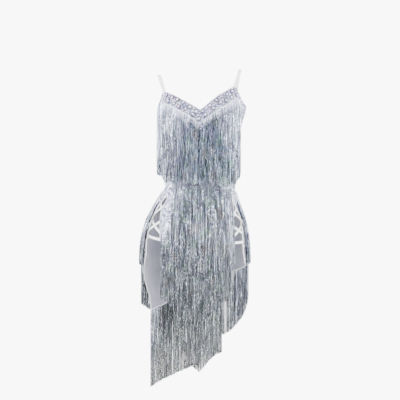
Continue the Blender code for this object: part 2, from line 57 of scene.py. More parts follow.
# ---------------------------------------------------------------- the figure that the dress is cut for
FIGURE = table(
    "height centre half_width front back",
    (-25, 4.0, 133, 58, 82),
    (-62, 4.0, 138, 76, 90),
    (-95, 5.0, 139, 88, 93),
    (-125, 4.5, 137, 95, 94),
    (-150, 2.0, 131, 96, 94),
    (-185, 0.0, 125, 95, 92),
    (-240, 0.0, 118, 90, 86),
    (-300, 0.0, 110, 84, 79),
    (-341, 0.5, 108, 82, 77),
    (-372, -3.0, 113, 85, 83),
    (-409, -8.5, 125, 92, 95),
    (-446, -12.0, 138, 98, 106),
    (-484, -14.0, 149, 102, 115),
    (-521, -15.5, 156, 103, 121),
    (-560, -16.0, 159, 102, 123),
    (-620, -16.0, 159, 100, 123),
    (-740, -16.0, 157, 98, 122),
)
ROUNDNESS = 2.2  # 2 would make each section an ellipse
CUPS = ((-29, -174, 25), (27, -163, 25))  # angle, height and fullness of each
CUP_SPREAD_ANGLE, CUP_SPREAD_ABOVE, CUP_SPREAD_BELOW = 15.5, 52, 36

# ---------------------------------------------------------------- cut of the panels
WALL = 1.6
SEAM_GAP = 0.4
SIDE_EDGES = table(
    "height front_left back_left front_right back_right",
    (-100, -90.0, -90.0, 90.0, 90.0),
    (-340, -66.0, -66.0, 70.0, 70.0),
    (-384, -61.0, -61.0, 68.3, 68.3),
    (-392, -57.8, -66.0, 68.2, 68.2),
    (-404, -58.6, -68.8, 68.0, 68.0),
    (-416, -60.6, -72.0, 66.0, 71.5),
    (-428, -61.0, -74.2, 64.2, 75.0),
    (-444, -59.4, -76.0, 62.4, 79.0),
    (-460, -57.6, -76.8, 61.0, 79.5),
    (-488, -54.8, -77.2, 59.4, 78.0),
    (-521, -52.8, -76.6, 58.2, 75.6),
    (-560, -46.0, -75.0, 53.0, 75.0),
    (-590, -36.5, -80.0, 45.0, 80.0),
    (-620, -34.5, -90.0, 42.5, 90.0),
    (-660, -34.5, -103.0, 42.0, 110.0),
    (-700, -34.5, -112.0, 42.0, 130.0),
    (-745, -34.5, -115.0, 42.0, 139.0),
)
SEAM_TOP, SEAM_POINTS = -130, 60
SLIT_TOP = -384
# Edges of the panels: how far across the panel (0 to 1, as its angle grows), and the height there.
FRONT_TOP = (
    (0.0, -127), (0.045, -112), (0.074, -103), (0.091, -95), (0.105, -83), (0.113, -67), (0.141, -66),
    (0.233, -80), (0.349, -99), (0.451, -118), (0.487, -125), (0.582, -100), (0.674, -79), (0.757, -66),
    (0.841, -51), (0.866, -52), (0.874, -72), (0.887, -88), (0.911, -101), (0.95, -107), (1.0, -110),
)
FRONT_HEM = ((0.0, -640), (0.27, -668), (0.55, -700), (1.0, -618))
BACK_TOP = (
    (0.0, -110), (0.1, -126), (0.24, -127), (0.28, -127), (0.38, -143), (0.5, -150), (0.62, -143),
    (0.72, -127), (0.76, -127), (0.9, -130), (1.0, -127),
)
BACK_HEM = ((0.0, -592), (0.25, -630), (0.45, -672), (0.65, -708), (0.85, -732), (1.0, -742))

# Tension folds, each a soft trough: angle and height of its start and its end, its width and its depth.
CREASES = (
    (-56, -404, -40, -396, 5, 1.8), (-55, -440, -36, -452, 6, 2.2), (-54, -462, -38, -486, 5, 1.6),
    (-54, -500, -34, -498, 6, 2.0), (-52, -522, -30, -546, 7, 2.4), (61, -426, 44, -418, 5, 1.8),
    (59, -462, 42, -474, 6, 2.0), (58, -482, 38, -508, 5, 1.5), (58, -519, 40, -522, 6, 2.1),
    (56, -534, 34, -560, 7, 2.2), (-69, -408, -92, -402, 5, 1.7), (-73, -442, -98, -458, 6, 2.2),
    (-74, -490, -104, -486, 6, 1.9), (-74, -506, -100, -528, 7, 2.3), (67, -428, 88, -420, 5, 1.7),
    (74, -466, 98, -480, 6, 2.1), (74, -503, 104, -498, 6, 1.8), (74, -526, 96, -546, 7, 2.2),
    (118, -138, 140, -172, 6, 1.6), (238, -136, 214, -176, 6, 1.8), (170, -158, 186, -196, 8, 1.6),
    (-80, -140, -56, -152, 6, 1.4), (81, -132, 58, -146, 6, 1.5), (150, -600, 156, -655, 9, 2.6),
    (205, -630, 200, -700, 10, 2.8), (236, -650, 240, -726, 9, 2.4), (-14, -600, -11, -662, 8, 2.2),
    (22, -600, 20, -672, 9, 2.4),
)
MM_PER_DEGREE = 2.1
CREASE_BOW = 0.12  # how far a fold's middle stands aside, as a share of its length
CREASE_LEAD, CREASE_TAIL = 8, 0.6  # it deepens over this many mm, and fades over this share of its length

# ---------------------------------------------------------------- stone-set band along the neckline
SEAT = 0.6
BAND_FROM, BAND_TO = -64.5, 64.5
BAND_EDGE = 2.0
BAND_DROP = ((-64.5, 29), (-45, 27), (-20, 28), (-2, 37), (11, 36), (28, 31), (64.5, 31))
BAND_TO_FRINGE = 4.0
BAND_WALL = 1.2
STONES_ALONG, STONES_DOWN = 24, 2
LARGE_STONE, SMALL_STONE, LEAST_STONE, MOST_STONE = 13.0, 8.0, 0.9, 1.1  # mm, then factors
STONE_ASTRAY, STONE_UP_OR_DOWN = 0.4, 0.05  # degrees, and share of the band's height
BAND_COLUMNS, BAND_ROWS = 6 * STONES_ALONG + 1, 9
# Stones and sequins, as rings of points: how many, how far out, how high, and turned by what share of a step.
CROWN = ((10, 0.84, 0.1, 0), (10, 0.84, 0.24, 0), (10, 0.68, 0.46, 0.5), (10, 0.4, 0.56, 0))
# A bright cap on each stone's table, a painted glint.
CROWN_TABLE = ((8, 0.4, 0.52, 0), (8, 0.34, 0.6, 0))
RIM = ((12, 1.14, -0.02, 0), (12, 1.14, 0.14, 0), (12, 0.92, 0.26, 0))
STONE_PARTS = (
    ("neckline_stones", "stone", CROWN),
    ("neckline_stone_tables", "table", CROWN_TABLE),
    ("neckline_stone_rims", "rim", RIM),
)
CHIP = ((6, 1.0, 0.0, 0), (6, 1.0, 0.3, 0), (6, 0.55, 0.8, 0.5))
FLAKE = ((6, 1.0, 0.0, 0), (6, 0.5, 0.22, 0))

# ---------------------------------------------------------------- shoulder straps and hip lacing
STRAP_WIDTH, STRAP_WALL = 10.0, 1.3
STRAP_SEAT = 0.2
STRAP_TAIL = 9.0  # sewn down inside the panel
RIBBON_POINTS, EDGE_THINNER = 7, 0.75  # across a strap or an elastic, and how much thinner its edges are
# Where a strap stands across the front's and the back's top, and its points over the shoulder: x, y, height
# and the way that it faces.
Strap = namedtuple("Strap", "name front back over")
STRAPS = (
    Strap(
        "strap_left", 0.127, 0.74,
        (
            (-119, -40, -38, -0.35, -0.9, 0.25), (-125, -25, -17, -0.3, -0.55, 0.75),
            (-127, 2, -9, -0.22, 0.0, 1.0), (-124, 32, -16, -0.25, 0.5, 0.8),
            (-116, 58, -42, -0.3, 0.9, 0.35), (-105, 73, -84, -0.35, 0.93, 0.12),
        ),
    ),
    Strap(
        "strap_right", 0.8535, 0.26,
        (
            (117, -34, -18, 0.35, -0.88, 0.3), (122, -18, 1, 0.28, -0.5, 0.8),
            (125, 6, 9, 0.2, 0.0, 1.0), (123, 34, 1, 0.25, 0.5, 0.8),
            (118, 58, -25, 0.3, 0.9, 0.35), (110, 74, -78, 0.35, 0.93, 0.12),
        ),
    ),
)
LACE_WIDTH, LACE_WALL = 7.6, 1.1
LACE_TUCK = 3.2  # degrees that each end lies behind its panel
LACE_SEAT, LACE_POINTS = 1.1, 24
# Heights of each elastic at the front panel and at the back panel. Every second one passes under.
LACES = {
    "left": ((-408, -440), (-439, -405), (-457, -491), (-503, -453), (-519, -504)),
    "right": ((-430, -457), (-460, -421), (-475, -500), (-514, -472), (-528, -525)),
}

# ---------------------------------------------------------------- fringe
TAPE_HEIGHT, TAPE_SEAT, TAPE_WALL = 8.0, 1.1, 2.0
STRAND_SEAT = TAPE_SEAT + TAPE_WALL + 0.3
STRAND_START = 0.8  # how far below a row's root line the strands begin
LIFT = 0.14  # how fast the strands move off the cloth below their root
LONGER = 5.0  # how far the longest strands reach below a row's hem line
# clearance is how far a row hangs off the figure, forward turns its fall from straight out (0) to straight
# forward (1), ragged is the share of a strand's length by which it may be short, and pale is how far down
# from the root the tinsel is white, by angle: partly the tinsel's own pale roots, and partly painted light,
# longest towards the ends of rows and lightening the shade below the bust fringe.
FringeRow = namedtuple("FringeRow", "name panel strands clearance forward ragged pale root hem")
FRINGE = (
    FringeRow(
        "fringe_bust_front", "front", 1700, 2.6, 0.0, 0.045,
        (
            (-84, 240), (-75, 200), (-66, 104), (-58, 80), (-50, 78), (-40, 74), (-32, 52), (-24, 18),
            (-14, 4), (9, 3), (20, 8), (44, 46), (57, 76), (64, 104),
        ),
        ((-84.5, -150), (-79, -132), (-72, -113)),
        ((-84, -314), (-68, -322), (-63, -343), (0, -349), (55, -356), (58, -335), (65, -327)),
    ),
    FringeRow(
        "fringe_bust_back", "back", 1250, 2.6, 0.0, 0.03, ((180, 34),),
        ((110, -146), (140, -142), (180, -164), (220, -142), (245, -146), (273.5, -153)),
        ((110, -329), (180, -340), (273, -316)),
    ),
    FringeRow(
        "fringe_waist_front", "front", 1300, 12.0, 0.7, 0.02,
        (
            (-52, 120), (-46, 80), (-38, 64), (-32, 28), (-24, 9), (2, 9), (8, 16), (24, 14), (38, 5),
            (46, 50), (62, 110),
        ),
        ((-52, -329), (0, -337), (62, -334)),
        ((-52, -580), (-30, -612), (8, -642), (35, -618), (62, -588)),
    ),
    FringeRow(
        "fringe_waist_back", "back", 1700, 12.3, 0.0, 0.016,
        ((79, 130), (88, 120), (100, 8), (268, 8), (284, 60)),
        ((79, -394), (95, -372), (130, -352), (180, -346), (230, -350), (262, -368), (284, -394)),
        ((71, -583), (120, -600), (180, -615), (240, -600), (288, -590)),
    ),
    FringeRow(
        "fringe_hip_front", "front", 1300, 5.8, 0.4, 0.016,
        ((-53, 26), (-44, 18), (-36, 8), (48, 8), (55, 24)),
        ((-53.3, -450), (-30, -487), (8, -540), (39, -474), (55.5, -448)),
        ((-53, -692), (-43, -703), (-35, -722), (-31, -738), (3, -776), (36, -722), (40, -706), (55, -690)),
    ),
    FringeRow(
        "fringe_hip_back", "back", 2400, 5.8, 0.0, 0.016,
        ((81, 200), (92, 180), (104, 165), (125, 150), (150, 20), (180, 8), (270, 8), (282, 60)),
        ((81.5, -456), (100, -500), (140, -530), (180, -520), (230, -488), (281.5, -466)),
        (
            (76, -686), (90, -690), (100, -722), (115, -770), (131, -812), (148, -838), (180, -822),
            (230, -760), (262, -718), (284, -713),
        ),
    ),
    FringeRow(
        "fringe_hem_front", "front", 1000, 1.6, 0.4, 0.014, ((0, 6),),
        ((-33, -618), (8, -678), (40, -606)),
        ((-33, -857), (8, -914), (40, -844)),
    ),
    FringeRow(
        "fringe_hem_back", "back", 2200, 1.6, 0.0, 0.014, ((180, 8), (228, 8), (244, 130)),
        ((142, -592), (166, -633), (187, -666), (212, -696), (244, -716)),
        ((142, -882), (187, -930), (244, -985)),
    ),
)
GUIDE_COLUMNS, GUIDE_ROWS = 160, 48
ROOT_STEPS, TAPE_COLUMNS = 1200, 140
BUNCHES_PER_DEGREE, STREAKS_PER_DEGREE = 0.42, 0.7
INSIDE_SHARE, INSIDE_FROM = 0.6, 3  # strands fill this share of a row's clearance beyond so many mm
# The borders between bunches wander by so many bunches, with so many bumps for each, and a strand has
# gathered after 1 / GATHER_SPEED of its fall.
BUNCH_WANDER, BUNCH_BUMPS, GATHER_SPEED = 2.6, 0.7, 3.5
# Each strand is white down to between 0.4 and 1.6 times its row's pale length. Its paleness has two parts,
# each with its share of the whole and how fast it fades.
PALE_LEAST, PALE_SPREAD = 0.4, 1.2
PALE_PARTS = ((0.65, 3.6), (0.35, 0.36))


# ================================================================ form
def read_table(rows, at):
    """The value of a table of (at, value) pairs, on straight lines between its rows."""
    keys, values = np.array(rows, float).T
    return np.interp(at, keys, values)


def read_figure(height, values):
    """A column of the figure's table, on a smooth curve through its rows."""
    keys, last = -FIGURE.height, len(values) - 1
    low, high = np.maximum(np.arange(last + 1) - 1, 0), np.minimum(np.arange(last + 1) + 1, last)
    slopes = (values[high] - values[low]) / (keys[high] - keys[low])
    at = np.clip(-np.asarray(height, float), keys[0], keys[-1])
    after = np.clip(np.searchsorted(keys, at, side="right"), 1, last)
    before = after - 1
    span = keys[after] - keys[before]
    t = (at - keys[before]) / span
    return (
        (2 * t**3 - 3 * t**2 + 1) * values[before] + (t**3 - 2 * t**2 + t) * span * slopes[before]
        + (3 * t**2 - 2 * t**3) * values[after] + (t**3 - t**2) * span * slopes[after]
    )


def edge_angle(height, column):
    """Angle of a panel's side edge at a height."""
    return np.interp(-np.asarray(height, float), -SIDE_EDGES.height, column)


def front_edges(height):
    return edge_angle(height, SIDE_EDGES.front_left), edge_angle(height, SIDE_EDGES.front_right)


def back_edges(height):
    return edge_angle(height, SIDE_EDGES.back_right), 360 + edge_angle(height, SIDE_EDGES.back_left)


def half_turn(angle):
    """The same angle, between -180 and 180."""
    return (np.asarray(angle) + 180) % 360 - 180


def ring_radius(angle, height):
    """Distance from the figure's axis to its surface."""
    turn = np.radians(angle)
    depth = np.where(np.cos(turn) > 0, read_figure(height, FIGURE.front), read_figure(height, FIGURE.back))
    across = np.abs(np.sin(turn)) / read_figure(height, FIGURE.half_width)
    along = np.abs(np.cos(turn)) / depth
    radius = (across**ROUNDNESS + along**ROUNDNESS) ** (-1 / ROUNDNESS)
    for cup_angle, cup_height, fullness in CUPS:
        spread = np.where(height > cup_height, CUP_SPREAD_ABOVE, CUP_SPREAD_BELOW)
        aside, above = (half_turn(angle) - cup_angle) / CUP_SPREAD_ANGLE, (height - cup_height) / spread
        radius = radius + fullness * np.exp(-(aside**2 + above**2) / 2)
    return radius


def matched(angle, height):
    """Angles and heights, as arrays of one shape."""
    return np.broadcast_arrays(np.asarray(angle, float), np.asarray(height, float))


def surface(angle, height):
    angle, height = matched(angle, height)
    radius, turn = ring_radius(angle, height), np.radians(angle)
    x = read_figure(height, FIGURE.centre) + radius * np.sin(turn)
    return np.stack([x, -radius * np.cos(turn), height], -1)


def unit(vectors):
    return vectors / np.linalg.norm(vectors, axis=-1, keepdims=True)


def outward(angle, height):
    """Unit normals of the figure's surface."""
    angle, height = matched(angle, height)
    sideways = surface(angle + 0.5, height) - surface(angle - 0.5, height)
    upwards = surface(angle, height + 1) - surface(angle, height - 1)
    return unit(np.cross(sideways, upwards))


def crease_depth(angle, height):
    """How far the tension folds push the cloth inwards."""
    angle, height = matched(angle, height)
    total = np.zeros(angle.shape)
    for start, top, end, low, width, depth in CREASES:
        run, rise = (end - start) * MM_PER_DEGREE, low - top
        beside, above = half_turn(half_turn(angle) - half_turn(start)) * MM_PER_DEGREE, height - top
        length = math.hypot(run, rise)
        along = (beside * run + above * rise) / length
        off = (beside * rise - above * run) / length
        bow = CREASE_BOW * length * np.sin(np.pi * np.clip(along / length, 0, 1))
        deepened = np.clip((along + CREASE_LEAD) / (2 * CREASE_LEAD), 0, 1)
        fade = deepened * np.clip((length - along) / (CREASE_TAIL * length), 0, 1)
        total += depth * np.exp(-(((off - bow) / width) ** 2)) * fade**1.5
    return total


def off_cloth(angle, height, out):
    """Points that lie `out` outside the cloth, creases included."""
    away = out - crease_depth(angle, height)
    return surface(angle, height) + outward(angle, height) * away[..., None]


def distances(path):
    """How far along a path each of its points lies."""
    return np.concatenate([[0], np.cumsum(np.linalg.norm(np.diff(path, axis=0), axis=1))])


def catmull(points, per_span=8):
    """Points on a smooth curve through the given ones."""
    points = np.asarray(points, float)
    padded = np.vstack([2 * points[0] - points[1], points, 2 * points[-1] - points[-2]])
    t = (np.arange(per_span) / per_span)[:, None]
    spans = []
    for p0, p1, p2, p3 in zip(padded, padded[1:], padded[2:], padded[3:]):
        square, cube = 2 * p0 - 5 * p1 + 4 * p2 - p3, 3 * p1 - p0 - 3 * p2 + p3
        spans.append(0.5 * (2 * p1 + (p2 - p0) * t + square * t**2 + cube * t**3))
    return np.vstack([*spans, points[-1]])


# ================================================================ meshes
SHARP = math.radians(50)


def place_object(name, data):
    made = bpy.data.objects.new(name, data)
    bpy.context.scene.collection.objects.link(made)
    return made


def discard(*things):
    for thing in things:
        bpy.data.objects.remove(thing)


def finish_piece(piece, slot, *replaced):
    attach(piece, BODY)
    if replaced:
        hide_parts(*replaced)
    return piece


def add_piece(name, points, faces, material=None):
    """A mesh object from points in millimetres."""
    mesh = bpy.data.meshes.new(name)
    mesh.from_pydata((np.asarray(points).reshape(-1, 3) * MM).tolist(), [], faces)
    if material:
        mesh.materials.append(material)
    return place_object(name, mesh)


def smooth(piece):
    piece.data.shade_smooth()
    piece.data.set_sharp_from_angle(angle=SHARP)
    return piece


def grid_faces(rows, columns, start=0, turned=False):
    index = start + np.arange(rows * columns).reshape(rows, columns)
    corners = [index[:-1, :-1], index[1:, :-1], index[1:, 1:], index[:-1, 1:]]
    if turned:
        corners.reverse()
    return np.stack(corners, -1).reshape(-1, 4).tolist()


def add_shell(name, outer, inner, material, inner_material=None):
    """A closed wall between two grids of points, which may have another material on its inner side."""
    rows, columns = outer.shape[:2]
    count = rows * columns
    index = np.arange(count).reshape(rows, columns)
    rim = np.array([*index[0], *index[1:, -1], *index[-1, -2::-1], *index[-2:0:-1, 0]])
    after = np.roll(rim, -1)
    faces = grid_faces(rows, columns) + grid_faces(rows, columns, count, turned=True)
    faces += np.stack([rim, after, after + count, rim + count], -1).tolist()
    made = add_piece(name, np.concatenate([outer.reshape(-1, 3), inner.reshape(-1, 3)]), faces, material)
    if inner_material:
        made.data.materials.append(inner_material)
        first = (rows - 1) * (columns - 1)
        for face in made.data.polygons[first : 2 * first]:
            face.material_index = 1
    return smooth(made)


def add_attribute(thing, name, values):
    """A number or a vector for each point of a mesh."""
    values = np.asarray(values, np.float32).ravel()
    if len(values) == len(thing.data.vertices):
        thing.data.attributes.new(name, "FLOAT", "POINT").data.foreach_set("value", values)
    else:
        thing.data.attributes.new(name, "FLOAT_VECTOR", "POINT").data.foreach_set("vector", values)


def read_attribute(thing, name):
    values = np.zeros(len(thing.data.vertices), np.float32)
    thing.data.attributes[name].data.foreach_get("value", values)
    return values


def add_ribbon(name, path, normal, width, wall, material):
    """A flat band with rounded edges, whose UV map runs across it and, in metres, along it."""
    across = unit(np.cross(normal, np.gradient(path, axis=0)))
    share = np.linspace(-1, 1, RIBBON_POINTS)
    crown = wall / 2 * (1 - EDGE_THINNER * np.abs(share) ** 6)
    upper = np.stack([share * width / 2, crown], -1)
    section = np.vstack([upper, upper[::-1] * (1, -1)])
    points = path[:, None] + across[:, None] * section[:, :1] + normal[:, None] * section[:, 1:]
    count, sides = len(path), len(section)
    index = np.arange(count * sides).reshape(count, sides)
    after = np.roll(index, -1, axis=1)
    faces = np.stack([index[:-1], after[:-1], after[1:], index[1:]], -1).reshape(-1, 4).tolist()
    faces += [index[0, ::-1].tolist(), index[-1].tolist()]
    if np.cross(across[0], normal[0]) @ (path[1] - path[0]) > 0:
        faces = [face[::-1] for face in faces]
    made = add_piece(name, points, faces, material)
    around, along = np.concatenate([share, share[::-1]]), distances(path) * MM
    layer = made.data.uv_layers.new(name="ribbon")
    for loop, uv in zip(made.data.loops, layer.data):
        uv.uv = (around[loop.vertex_index % sides], along[loop.vertex_index // sides])
    return smooth(made)


def gem(name, rings):
    """A small convex shape from rings of (points, radius, height, turn)."""
    shape = bmesh.new()
    for sides, radius, height, turn in rings:
        for k in range(sides):
            angle = math.tau * (k + turn) / sides
            shape.verts.new((radius * math.cos(angle), radius * math.sin(angle), height))
    bmesh.ops.convex_hull(shape, input=shape.verts)
    bmesh.ops.dissolve_limit(shape, angle_limit=math.radians(1), verts=shape.verts, edges=shape.edges)
    bmesh.ops.recalc_face_normals(shape, faces=shape.faces)
    mesh = bpy.data.meshes.new(name)
    shape.to_mesh(mesh)
    shape.free()
    return place_object(name, mesh)


# ================================================================ node trees
class Value:
    """A node's output. Sums with it make further nodes."""

    def __init__(self, nodes, socket):
        self.nodes, self.socket = nodes, socket

    def at(self, output):
        """Another output of the same node."""
        return Value(self.nodes, self.socket.node.outputs[output])

    def __add__(self, other):
        return self.nodes.math("ADD", self, other)

    def __sub__(self, other):
        return self.nodes.math("SUBTRACT", self, other)

    def __rsub__(self, other):
        return self.nodes.math("SUBTRACT", other, self)

    def __mul__(self, other):
        return self.nodes.math("MULTIPLY", self, other)

    def __truediv__(self, other):
        return self.nodes.math("DIVIDE", self, other)

    def between(self, low, high):
        """The value, held between two limits."""
        return self.nodes.math("MINIMUM", self.nodes.math("MAXIMUM", self, low), high)


class Nodes:
    """A node tree, written one node at a time.

    A node's inputs are given in their order, by number, or by name in capitalised keywords with "_" for a
    space. Keywords in small letters are its settings. An input is a constant or a Value.
    """

    def __init__(self, tree):
        self.tree = tree

    def feed(self, socket, given):
        if isinstance(given, Value):
            self.tree.links.new(given.socket, socket)
        else:
            socket.default_value = given

    def node(self, kind, *inputs, numbered=None, **named):
        made = self.tree.nodes.new(kind)
        given = {**dict(enumerate(inputs)), **(numbered or {})}
        for key, value in named.items():
            if key[0].isupper():
                given[key.replace("_", " ")] = value
            else:
                setattr(made, key, value)
        for key, value in given.items():
            self.feed(made.inputs[key], value)
        return Value(self, made.outputs[0])

    def shader(self, kind, *inputs, **named):
        return self.node("ShaderNode" + kind, *inputs, **named)

    def math(self, operation, *values):
        return self.shader("Math", *values, operation=operation)

    def vector(self, operation, *values, **named):
        return self.shader("VectorMath", *values, operation=operation, **named)

    def xyz(self, x=0.0, y=0.0, z=0.0):
        return self.shader("CombineXYZ", x, y, z)

    def noise(self, place, scale, detail):
        return self.shader("TexNoise", Vector=place, Scale=scale, Detail=detail)

    def mix(self, factor, low, high, blend="MIX"):
        numbered = {0: factor, 6: low, 7: high}
        return self.shader("Mix", numbered=numbered, data_type="RGBA", blend_type=blend).at(2)

    def multiply(self, colour, *others):
        for other in others:
            colour = self.mix(1.0, colour, other, "MULTIPLY")
        return colour

    def ramp(self, factor, *stops):
        """A colour ramp. A stop is its position, and then a grey or a red, a green and a blue."""
        made = self.shader("ValToRGB", factor)
        band = made.socket.node.color_ramp
        while len(band.elements) < len(stops):
            band.elements.new(0.5)
        for element, (position, *colour) in zip(band.elements, stops):
            element.position = position
            element.color = (*(colour * 3)[:3], 1.0)
        return made


class Maker(Nodes):
    """A geometry node tree with named sizes, which turns one mesh into another."""

    def __init__(self, name, **sizes):
        super().__init__(bpy.data.node_groups.new(name, "GeometryNodeTree"))
        kinds = {"Geometry": "Geometry", "Material": "Material", "Shape": "Object"}
        kinds |= {label: "Int" if isinstance(size, int) else "Float" for label, size in sizes.items()}
        sockets = self.tree.interface
        for label, kind in kinds.items():
            made = sockets.new_socket(label, in_out="INPUT", socket_type="NodeSocket" + kind)
            if label in sizes:
                made.default_value = sizes[label]
        sockets.new_socket("Geometry", in_out="OUTPUT", socket_type="NodeSocketGeometry")
        given = self.tree.nodes.new("NodeGroupInput").outputs
        self.given = {socket.name: Value(self, socket) for socket in given}

    def geo(self, kind, *inputs, **named):
        return self.node("GeometryNode" + kind, *inputs, **named)

    def random(self, low, high, identity, seed):
        return self.node("FunctionNodeRandomValue", numbered={2: low, 3: high}, ID=identity, Seed=seed).at(1)

    def named(self, name, kind="FLOAT"):
        return self.geo("InputNamedAttribute", Name=name, data_type=kind)

    def facing(self):
        return self.named("outward", "FLOAT_VECTOR")

    def curve(self):
        return self.geo("MeshToCurve", self.given["Geometry"])

    def store(self, geometry, **values):
        for name, value in values.items():
            geometry = self.geo("StoreNamedAttribute", geometry, Name=name, Value=value)
        return geometry

    def sweep(self, curve, sides, width, height, **named):
        """A tube along a curve, with an oval section."""
        profile = self.geo("CurvePrimitiveCircle", Resolution=sides, Radius=0.5)
        profile = self.geo("Transform", profile, Scale=self.xyz(width, height, 1.0))
        return self.geo("CurveToMesh", curve, Profile_Curve=profile, Fill_Caps=True, **named)

    def set_copies(self, points, turn, spin, size):
        """A copy of the given shape on each point, spun in its own frame."""
        shape = self.geo("ObjectInfo", Object=self.given["Shape"]).at("Geometry")
        turn = self.node("FunctionNodeRotateRotation", turn, Rotate_By=spin, rotation_space="LOCAL")
        size = self.xyz(size, size, size)
        self.end(self.geo("InstanceOnPoints", points, Instance=shape, Rotation=turn, Scale=size))

    def end(self, geometry, smooth=False):
        real = self.geo("RealizeInstances", geometry)
        shaded = self.geo("SetShadeSmooth", real, Shade_Smooth=smooth)
        dressed = self.geo("SetMaterial", shaded, Material=self.given["Material"])
        self.feed(self.tree.nodes.new("NodeGroupOutput").inputs[0], dressed)

    def run(self, name, source, material, slot, *replaced, **sizes):
        """Runs the tree on a source mesh, and returns what it makes as a piece."""
        modifier = source.modifiers.new(self.tree.name, "NODES")
        modifier.node_group = self.tree
        values = {"Material": material, **sizes}
        for item in self.tree.interface.items_tree:
            if item.in_out == "INPUT" and item.name in values:
                modifier[item.identifier] = values[item.name]
        evaluated = source.evaluated_get(bpy.context.evaluated_depsgraph_get())
        mesh = bpy.data.meshes.new_from_object(evaluated)
        source.modifiers.remove(modifier)
        mesh.name = name
        return finish_piece(place_object(name, mesh), slot, *replaced)


def fringe_maker():
    """Strands that fall down a guide mesh, gathered into uneven bunches."""
    maker = Maker(
        "fringe", Strands=1000, Bunches=50, Streaks=80.0, Points=10, Width=0.0012, Flatness=0.45,
        Depth=0.002, Inside=0.002, Sway=0.0012, Gather=0.3, Uneven=0.014, Twist=12.0, Seed=1,
    )
    given, seed = maker.given, maker.given["Seed"]
    line = maker.geo("ResampleCurve", maker.geo("CurvePrimitiveLine"), Count=given["Points"])
    strands = maker.geo("InstanceOnPoints", maker.geo("Points", Count=given["Strands"]), Instance=line)
    strands = maker.geo("RealizeInstances", strands)
    strand = maker.geo("CurveOfPoint").at("Curve Index")
    fall = maker.geo("SplineParameter").at("Factor")

    def draw(low, high, step, each=strand):
        """A random number for each strand. Every use has a step of its own, so no two go together."""
        return maker.random(low, high, each, seed + step)

    jitter = draw(0.0, 1.0, 0)
    across = (strand + jitter) / given["Strands"]
    place = across * given["Bunches"]
    drift = maker.shader("TexNoise", W=place, Scale=BUNCH_BUMPS, Detail=1.0, noise_dimensions="1D")
    shifted = place + (drift - 0.5) * BUNCH_WANDER
    bunch = maker.math("FLOOR", shifted)
    bunch_id = bunch + seed * 977.0
    middle = (place + (bunch + 0.5 - shifted)) / given["Bunches"]

    started = maker.math("MINIMUM", fall * GATHER_SPEED, 1.0)
    pull = given["Gather"] * draw(0.25, 1.0, 11) * started
    held = (across + (middle - across) * pull).between(0.0005, 0.9995)

    short_bunch = given["Uneven"] * draw(0.0, 1.0, 23, bunch_id)
    short_strand = given["Uneven"] * draw(0.0, 1.0, 31)
    begun = draw(0.0, 0.012, 37)
    down = begun + fall * (0.999 - short_bunch - short_strand - begun)

    spot = maker.xyz(held, down)
    guide_map = maker.named("guide", "FLOAT_VECTOR")

    def sample(value):
        return maker.geo(
            "SampleUVSurface", given["Geometry"], Value=value, UV_Map=guide_map, Sample_UV=spot,
            data_type="FLOAT_VECTOR",
        )

    on_guide, off_guide = sample(maker.geo("InputPosition")), sample(maker.facing())
    beside = maker.vector("NORMALIZE", maker.vector("CROSS_PRODUCT", off_guide, (0.0, 0.0, 1.0)))

    sunk = maker.math("MINIMUM", given["Inside"] * draw(-1.0, 0.3, 47), 0.0)
    out = given["Depth"] * draw(0.0, 1.0, 41) + sunk * started
    wander = maker.noise(maker.xyz(bunch_id * 7.31, fall * 1.6), 1.0, 1.0)
    ripple = maker.noise(maker.xyz(strand * 3.17, fall * 4.0, 5.0), 1.0, 0.0)
    aside = (wander - 0.5 + (ripple - 0.5)) * given["Sway"] * maker.math("SQRT", fall)
    position = maker.vector("ADD", on_guide, maker.vector("SCALE", off_guide, Scale=out))
    position = maker.vector("ADD", position, maker.vector("SCALE", beside, Scale=aside))
    strands = maker.geo("SetPosition", strands, Position=position)

    weave = maker.xyz(across * given["Streaks"], down * 0.6, seed)
    weave = maker.shader("TexNoise", Vector=weave, Scale=1.0, Detail=4.0, Roughness=0.55)
    strands = maker.store(strands, shade=draw(0.0, 1.0, 61), streak=weave, fall=down, across=held)
    tilt = fall * (given["Twist"] * draw(-1.0, 1.0, 71)) + jitter * math.tau
    strands = maker.geo("SetCurveTilt", strands, Tilt=tilt)
    width = given["Width"] * draw(0.7, 1.3, 83)
    maker.end(maker.sweep(strands, 3, 1.0, given["Flatness"], Scale=width))
    return maker


def edging_maker():
    """A narrow rolled binding along a line of points."""
    maker = Maker("edging", Height=0.0026, Thickness=0.0026, Spacing=0.003)
    curve = maker.geo("SetCurveNormal", maker.curve(), Normal=maker.facing(), mode="FREE")
    curve = maker.geo("ResampleCurve", curve, Length=maker.given["Spacing"], mode="LENGTH")
    maker.end(maker.sweep(curve, 8, maker.given["Thickness"], maker.given["Height"]), smooth=True)
    return maker


def stitch_maker():
    """A row of short stitches along a line of points, proud of it."""
    maker = Maker("stitches", Pitch=0.0036, Length=0.0024, Thread=0.0004, Proud=0.0014)
    given = maker.given
    points = maker.geo("CurveToPoints", maker.curve(), Length=given["Pitch"], mode="LENGTH")
    proud = maker.vector("SCALE", maker.facing(), Scale=given["Proud"])
    placed = maker.geo("SetPosition", points, Offset=proud)
    stitch = maker.geo("MeshCylinder", Vertices=5, Radius=given["Thread"], Depth=given["Length"])
    turn = maker.node("FunctionNodeAlignRotationToVector", Vector=points.at("Tangent"), axis="Z")
    maker.end(maker.geo("InstanceOnPoints", placed, Instance=stitch, Rotation=turn), smooth=True)
    return maker


def setting_maker():
    """One copy of a shape on each point of a mesh, facing outwards, each at its own size and turn."""
    maker = Maker("settings")
    points = maker.geo("MeshToPoints", maker.given["Geometry"])
    turn = maker.node("FunctionNodeAlignRotationToVector", Vector=maker.facing(), axis="Z")
    spin = maker.node("FunctionNodeAxisAngleToRotation", Angle=maker.named("spin"))
    maker.set_copies(points, turn, spin, maker.named("size"))
    return maker


